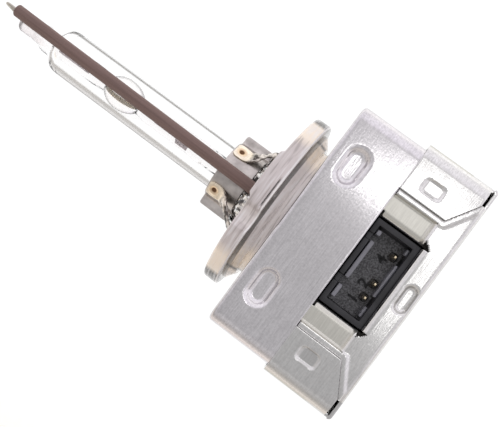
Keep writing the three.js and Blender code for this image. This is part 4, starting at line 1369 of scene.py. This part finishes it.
def salt_pool():
    """Thin uneven crust on the chamber wall, on the side that hung lowest when the lamp cooled."""
    rows_out, rows_in = [], []
    for i in range(29):
        u = i / 28
        x = ARC_CENTRE + 3.3 * (2 * u - 1)
        wall = CHAMBER_RADIUS * max(1 - ((x - ARC_CENTRE) / CHAMBER_HALF) ** 2, 0.02) ** 0.4
        out, inner = [], []
        for k in range(25):
            v = k / 24
            angle = math.radians(-62 + 124 * v) + 0.1
            edge = min(u, 1 - u, v, 1 - v) * 7
            crust = 0.2 * smoothstep(edge) * (0.75 + 0.5 * noise(Vector((x * 1.7, angle * 2, 0))))
            top = wall - 0.03
            out.append((x, top * math.cos(angle), top * math.sin(angle)))
            low = top - 0.015 - max(crust, 0.0)
            inner.append((x, low * math.cos(angle), low * math.sin(angle)))
        rows_out.append(out)
        rows_in.append(inner)
    sheet = Sheet()
    sheet.grid(rows_out)
    sheet.grid(rows_in)
    for end in (0, -1):
        sheet.grid([rows_out[end], rows_in[end]])
    for end in (0, -1):
        sheet.grid([[row[end] for row in rows] for rows in (rows_out, rows_in)])
    add_piece("salt_pool", sheet.mesh("salt_pool"), SALT, "salt_deposit", 60)


def ceramic_sleeve():
    """Extruded ceramic tube around the return wire, with chamfered ends."""
    start, end = lamp_mm(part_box("ceramic_tube")[0]).x, SLEEVE_END
    out, bore = SLEEVE_RADIUS, 0.5
    profile = [(start, bore), (start, out - 0.1), (start + 0.1, out)]
    profile += [(x, out) for x in spread(start + 0.6, end - 0.6, 1.0)]
    profile += [(end - 0.12, out), (end - 0.03, out - 0.05), (end, out - 0.14), (end, bore + 0.05),
                (end - 0.08, bore), (end - 1.5, bore)]

    def shape(x, r, angle):
        wobble = 0.012 * noise(Vector((x * 0.35, math.cos(angle), math.sin(angle))))
        return x, r + (wobble if r > 0.9 else 0.0)

    mesh = turned_mesh("ceramic_sleeve", profile, 64, shape)
    lean = Matrix(((1, 0, 0, 0), (SLEEVE_LEAN, 1, 0, -SLEEVE_LEAN * AXIS.x), (0, 0, 1, 0), (0, 0, 0, 1)))
    mesh.transform(Matrix.Translation((0, 0, SLEEVE_HEIGHT * MM)) @ lean)
    add_piece("ceramic_sleeve", mesh, CERAMIC, "ceramic_tube", 50)


def return_wire():
    """Runs through the sleeve, out of its end and down to the tail wire, where it is welded."""
    bend = 1.3
    turn_x = WIRE_REACH - bend
    path = [(x, SLEEVE_LEAN * x, SLEEVE_HEIGHT) for x in spread(CAP_REAR - 0.9, turn_x, 1.2)]
    corner = [(turn_x + run, SLEEVE_HEIGHT - drop) for run, drop in fold(bend)[1:]]
    corner += [(WIRE_REACH, z) for z in spread(SLEEVE_HEIGHT - bend, 0.35, 0.6)[1:]]
    path += [(x, SLEEVE_LEAN * x * z / SLEEVE_HEIGHT, z) for x, z in corner]
    mesh = swept_mesh("return_wire_drawn", path, WIRE_RADIUS)
    add_piece("return_wire_drawn", mesh, NICKEL, "return_wire")


# ---------------------------------------------------------------- CAD nodes that stay
def finish_inner_nodes():
    """The parts inside the case keep their CAD shape and get a proper surface."""
    finishes = {
        "igniter_housing": moulded_plastic("case_plastic", srgb(70, 66, 61), 0.55, 0.3),
        "shield_contact_spring": plain_metal("brass_strip", srgb(190, 152, 80), 0.3),
        "circuit_board": moulded_plastic("board_laminate", srgb(66, 96, 52), 0.45, 0.4, 0.15),
        "ferrite_core": moulded_plastic("ferrite", srgb(54, 54, 57), 0.7, 0.2, 0.4),
        "coil_former": moulded_plastic("former_plastic", srgb(216, 210, 196), 0.5, 0.4, 0.15),
        "secondary_winding": wound_wire("copper_fine", srgb(178, 106, 58)),
        "primary_winding": wound_wire("copper_strip", srgb(196, 122, 70)),
        "spark_gap_cap_left": plain_metal("cap_left_metal", srgb(205, 203, 200), 0.25),
        "spark_gap_cap_right": plain_metal("cap_right_metal", srgb(205, 203, 200), 0.25),
        "spark_gap_body": moulded_plastic("spark_ceramic", srgb(228, 224, 214), 0.5, 0.2, 0.2),
        "storage_capacitor": moulded_plastic("capacitor_blue", srgb(62, 108, 156), 0.35, 0.5, 0.1),
        "bleed_resistor": moulded_plastic("resistor_body", srgb(184, 162, 124), 0.5, 0.2, 0.2),
        "high_voltage_terminal": plain_metal("terminal_brass", srgb(190, 152, 80), 0.3),
        "return_terminal": plain_metal("return_brass", srgb(190, 152, 80), 0.3),
        "potting_compound": moulded_plastic("potting", srgb(92, 86, 80), 0.75, 0.8, 0.5),
    }
    for node, material in finishes.items():
        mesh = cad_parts[node].data
        mesh.materials.clear()
        mesh.materials.append(material)


# ---------------------------------------------------------------- camera, floor and light
CAMERA_SPOT = (-11.750, 3.803, 120.294)
CAMERA_RIGHT = Vector((-0.79729, -0.59886, -0.07552))
CAMERA_DOWN = Vector((-0.59576, 0.80085, -0.06090))
LENS = 52.02
LIGHT_HEIGHT = 300
FLOOR_GLOW = 0.95
FLOOR_NEAR = 45
FLOOR_FAR = 85
WINDOW_SIDE = (0.0, -1.0)
# name, x and y of its mirror image on the connector face, width, depth and radiance
SOFTBOXES = [
    ("key_softbox", -13.2, -11.7, 7.0, 4.0, 3.0),
    ("side_softbox", -21.5, -12.8, 11.0, 9.5, 1.5),
    ("rear_softbox", -28.0, -3.4, 4.0, 18.0, 1.7),
]
# the tent's colours from the table (0) up to straight overhead (1)
BRIGHT_SIDE = [
    (0.0, (1.20, 1.18, 1.20)), (0.30, (1.12, 1.09, 1.14)), (0.80, (1.10, 1.07, 1.14)),
    (0.92, (1.02, 0.99, 1.05)), (1.0, (0.68, 0.67, 0.68)),
]
DIM_SIDE = [
    (0.0, (0.86, 0.80, 0.75)), (0.15, (0.78, 0.73, 0.69)), (0.38, (0.60, 0.57, 0.55)),
    (0.60, (0.62, 0.60, 0.60)), (0.85, (0.70, 0.69, 0.70)), (0.94, (0.56, 0.55, 0.56)),
    (1.0, (0.53, 0.53, 0.54)),
]


def camera():
    data = bpy.data.cameras.new("camera")
    data.sensor_width = 36
    data.lens = LENS
    data.clip_start = 0.01
    data.clip_end = 10
    eye = bpy.data.objects.new("camera", data)
    bpy.context.scene.collection.objects.link(eye)
    right = CAMERA_RIGHT.normalized()
    up = -(CAMERA_DOWN - right * CAMERA_DOWN.dot(right)).normalized()
    back = right.cross(up)
    turn = Matrix((right, up, back)).transposed().to_4x4()
    eye.matrix_world = Matrix.Translation(place(*CAMERA_SPOT)) @ turn
    bpy.context.scene.camera = eye


def floor():
    """A sheet of paper just below the part, 4 m square."""
    half = 2.0
    bm = bmesh.new()
    square = ((-half, -half), (half, -half), (half, half), (-half, half))
    bm.faces.new([bm.verts.new((x, y, -0.2 * MM)) for x, y in square])
    mesh = as_mesh(bm, "studio_floor", outward=False)
    mesh.materials.append(studio_floor())
    obj = bpy.data.objects.new("studio_floor", mesh)
    bpy.context.scene.collection.objects.link(obj)


def softbox(name, x, y, width, depth, radiance):
    """An area light that the camera sees mirrored in the connector face at (x, y), width by depth there."""
    spot, aim = mirror_spot(x, y, LIGHT_HEIGHT), (x, y, FACE)
    widen = 1 + (LIGHT_HEIGHT - FACE) / (CAMERA_SPOT[2] - FACE)
    data = bpy.data.lights.new(name, "AREA")
    data.shape = "RECTANGLE"
    data.size = width * widen * MM
    data.size_y = depth * widen * MM
    data.energy = radiance * math.pi * data.size * data.size_y
    light = bpy.data.objects.new(name, data)
    bpy.context.scene.collection.objects.link(light)
    light.location = place(*spot)
    back = (place(*spot) - place(*aim)).normalized()
    up = back.cross(Vector((1, 0, 0))).normalized()
    turn = Matrix((up.cross(back), up, back)).transposed()
    light.rotation_mode = "QUATERNION"
    light.rotation_quaternion = turn.to_quaternion()


def mirror_spot(x, y, height):
    """Where a light at that height is seen by the camera, mirrored in the connector face at (x, y)."""
    eye = Vector(CAMERA_SPOT)
    slope = (Vector((x, y)) - eye.xy) / (eye.z - FACE)
    spot = Vector((x, y)) + slope * (height - FACE)
    return (spot.x, spot.y, height)


def studio():
    """A white tent, grey overhead and brighter on the window side, with three softboxes over it."""
    world = bpy.data.worlds.new("studio")
    world.use_nodes = True
    nodes = world.node_tree.nodes
    links = world.node_tree.links
    direction = nodes.new("ShaderNodeTexCoord").outputs["Generated"]
    split = nodes.new("ShaderNodeSeparateXYZ")
    links.new(direction, split.inputs[0])
    lean = nodes.new("ShaderNodeVectorMath")
    lean.operation = "DOT_PRODUCT"
    links.new(direction, lean.inputs[0])
    lean.inputs[1].default_value = (*WINDOW_SIDE, 0)
    side = nodes.new("ShaderNodeMapRange")
    side.interpolation_type = "SMOOTHSTEP"
    side.inputs["From Min"].default_value = -0.4
    side.inputs["From Max"].default_value = 0.4
    links.new(lean.outputs["Value"], side.inputs["Value"])
    tent = nodes.new("ShaderNodeMix")
    tent.data_type = "RGBA"
    links.new(side.outputs["Result"], tent.inputs[0])
    for socket, stops in ((6, DIM_SIDE), (7, BRIGHT_SIDE)):
        ramp = nodes.new("ShaderNodeValToRGB")
        fill_ramp(ramp.color_ramp, stops)
        links.new(split.outputs["Z"], ramp.inputs["Fac"])
        links.new(ramp.outputs["Color"], tent.inputs[socket])
    background = nodes["Background"]
    links.new(tent.outputs[2], background.inputs["Color"])
    bpy.context.scene.world = world
    bpy.context.scene.view_settings.view_transform = "Standard"
    for name, *placing in SOFTBOXES:
        softbox(name, *placing)


# ---------------------------------------------------------------- build
camera()
floor()
studio()

STEEL = rolled_steel("tinned_steel", srgb(222, 219, 221), 0.13)
COVER_STEEL = rolled_steel("tinned_steel_cover", srgb(224, 223, 221), 0.13, arms=True)
BLACK = connector_plastic()
# painted light: the guide ribs are the black moulding painted light grey, as if lit
RIB_PAINTED_LIGHT = moulded_plastic("black_plastic_ribs_painted_light", srgb(118, 118, 124), 0.3, 0.2, 0.4)
FIGURE_BLACK = moulded_plastic("black_plastic_figures", srgb(18, 18, 19), 0.6)
GOLD = plain_metal("gold_plate", srgb(232, 216, 184), 0.2, 0.2)
AMBER = amber_plastic()
BRIGHT = crimped_steel()
CLAMP = clamp_steel()
STRAP = strap_steel()
QUARTZ = sleeve_quartz()
QUARTZ_BURNER = burner_quartz()
CERAMIC = fired_ceramic()
TUNGSTEN = plain_metal("tungsten", srgb(120, 118, 122), 0.4, 0.2)
MOLY = plain_metal("molybdenum", srgb(226, 214, 214), 0.5, 0.3)
NICKEL = plain_metal("nickel", srgb(188, 182, 172), 0.3, 0.2)
SALT = salt_film()

front_shield()
rear_cover()
connector_body()
for way in PINS:
    contact_pin(way)
for way, figure_y in FIGURES.items():
    way_number(way, figure_y)
cap_flange()
carrier_ring()
clamp_half(1)
clamp_half(-1)
for leg, (leg_y, leg_z) in enumerate(((1, 1), (-1, 1), (-1, -1), (1, -1)), start=1):
    support_leg(leg, leg_y, leg_z)
outer_bulb()
arc_tube()
burner_insides()
ceramic_sleeve()
return_wire()
finish_inner_nodes()
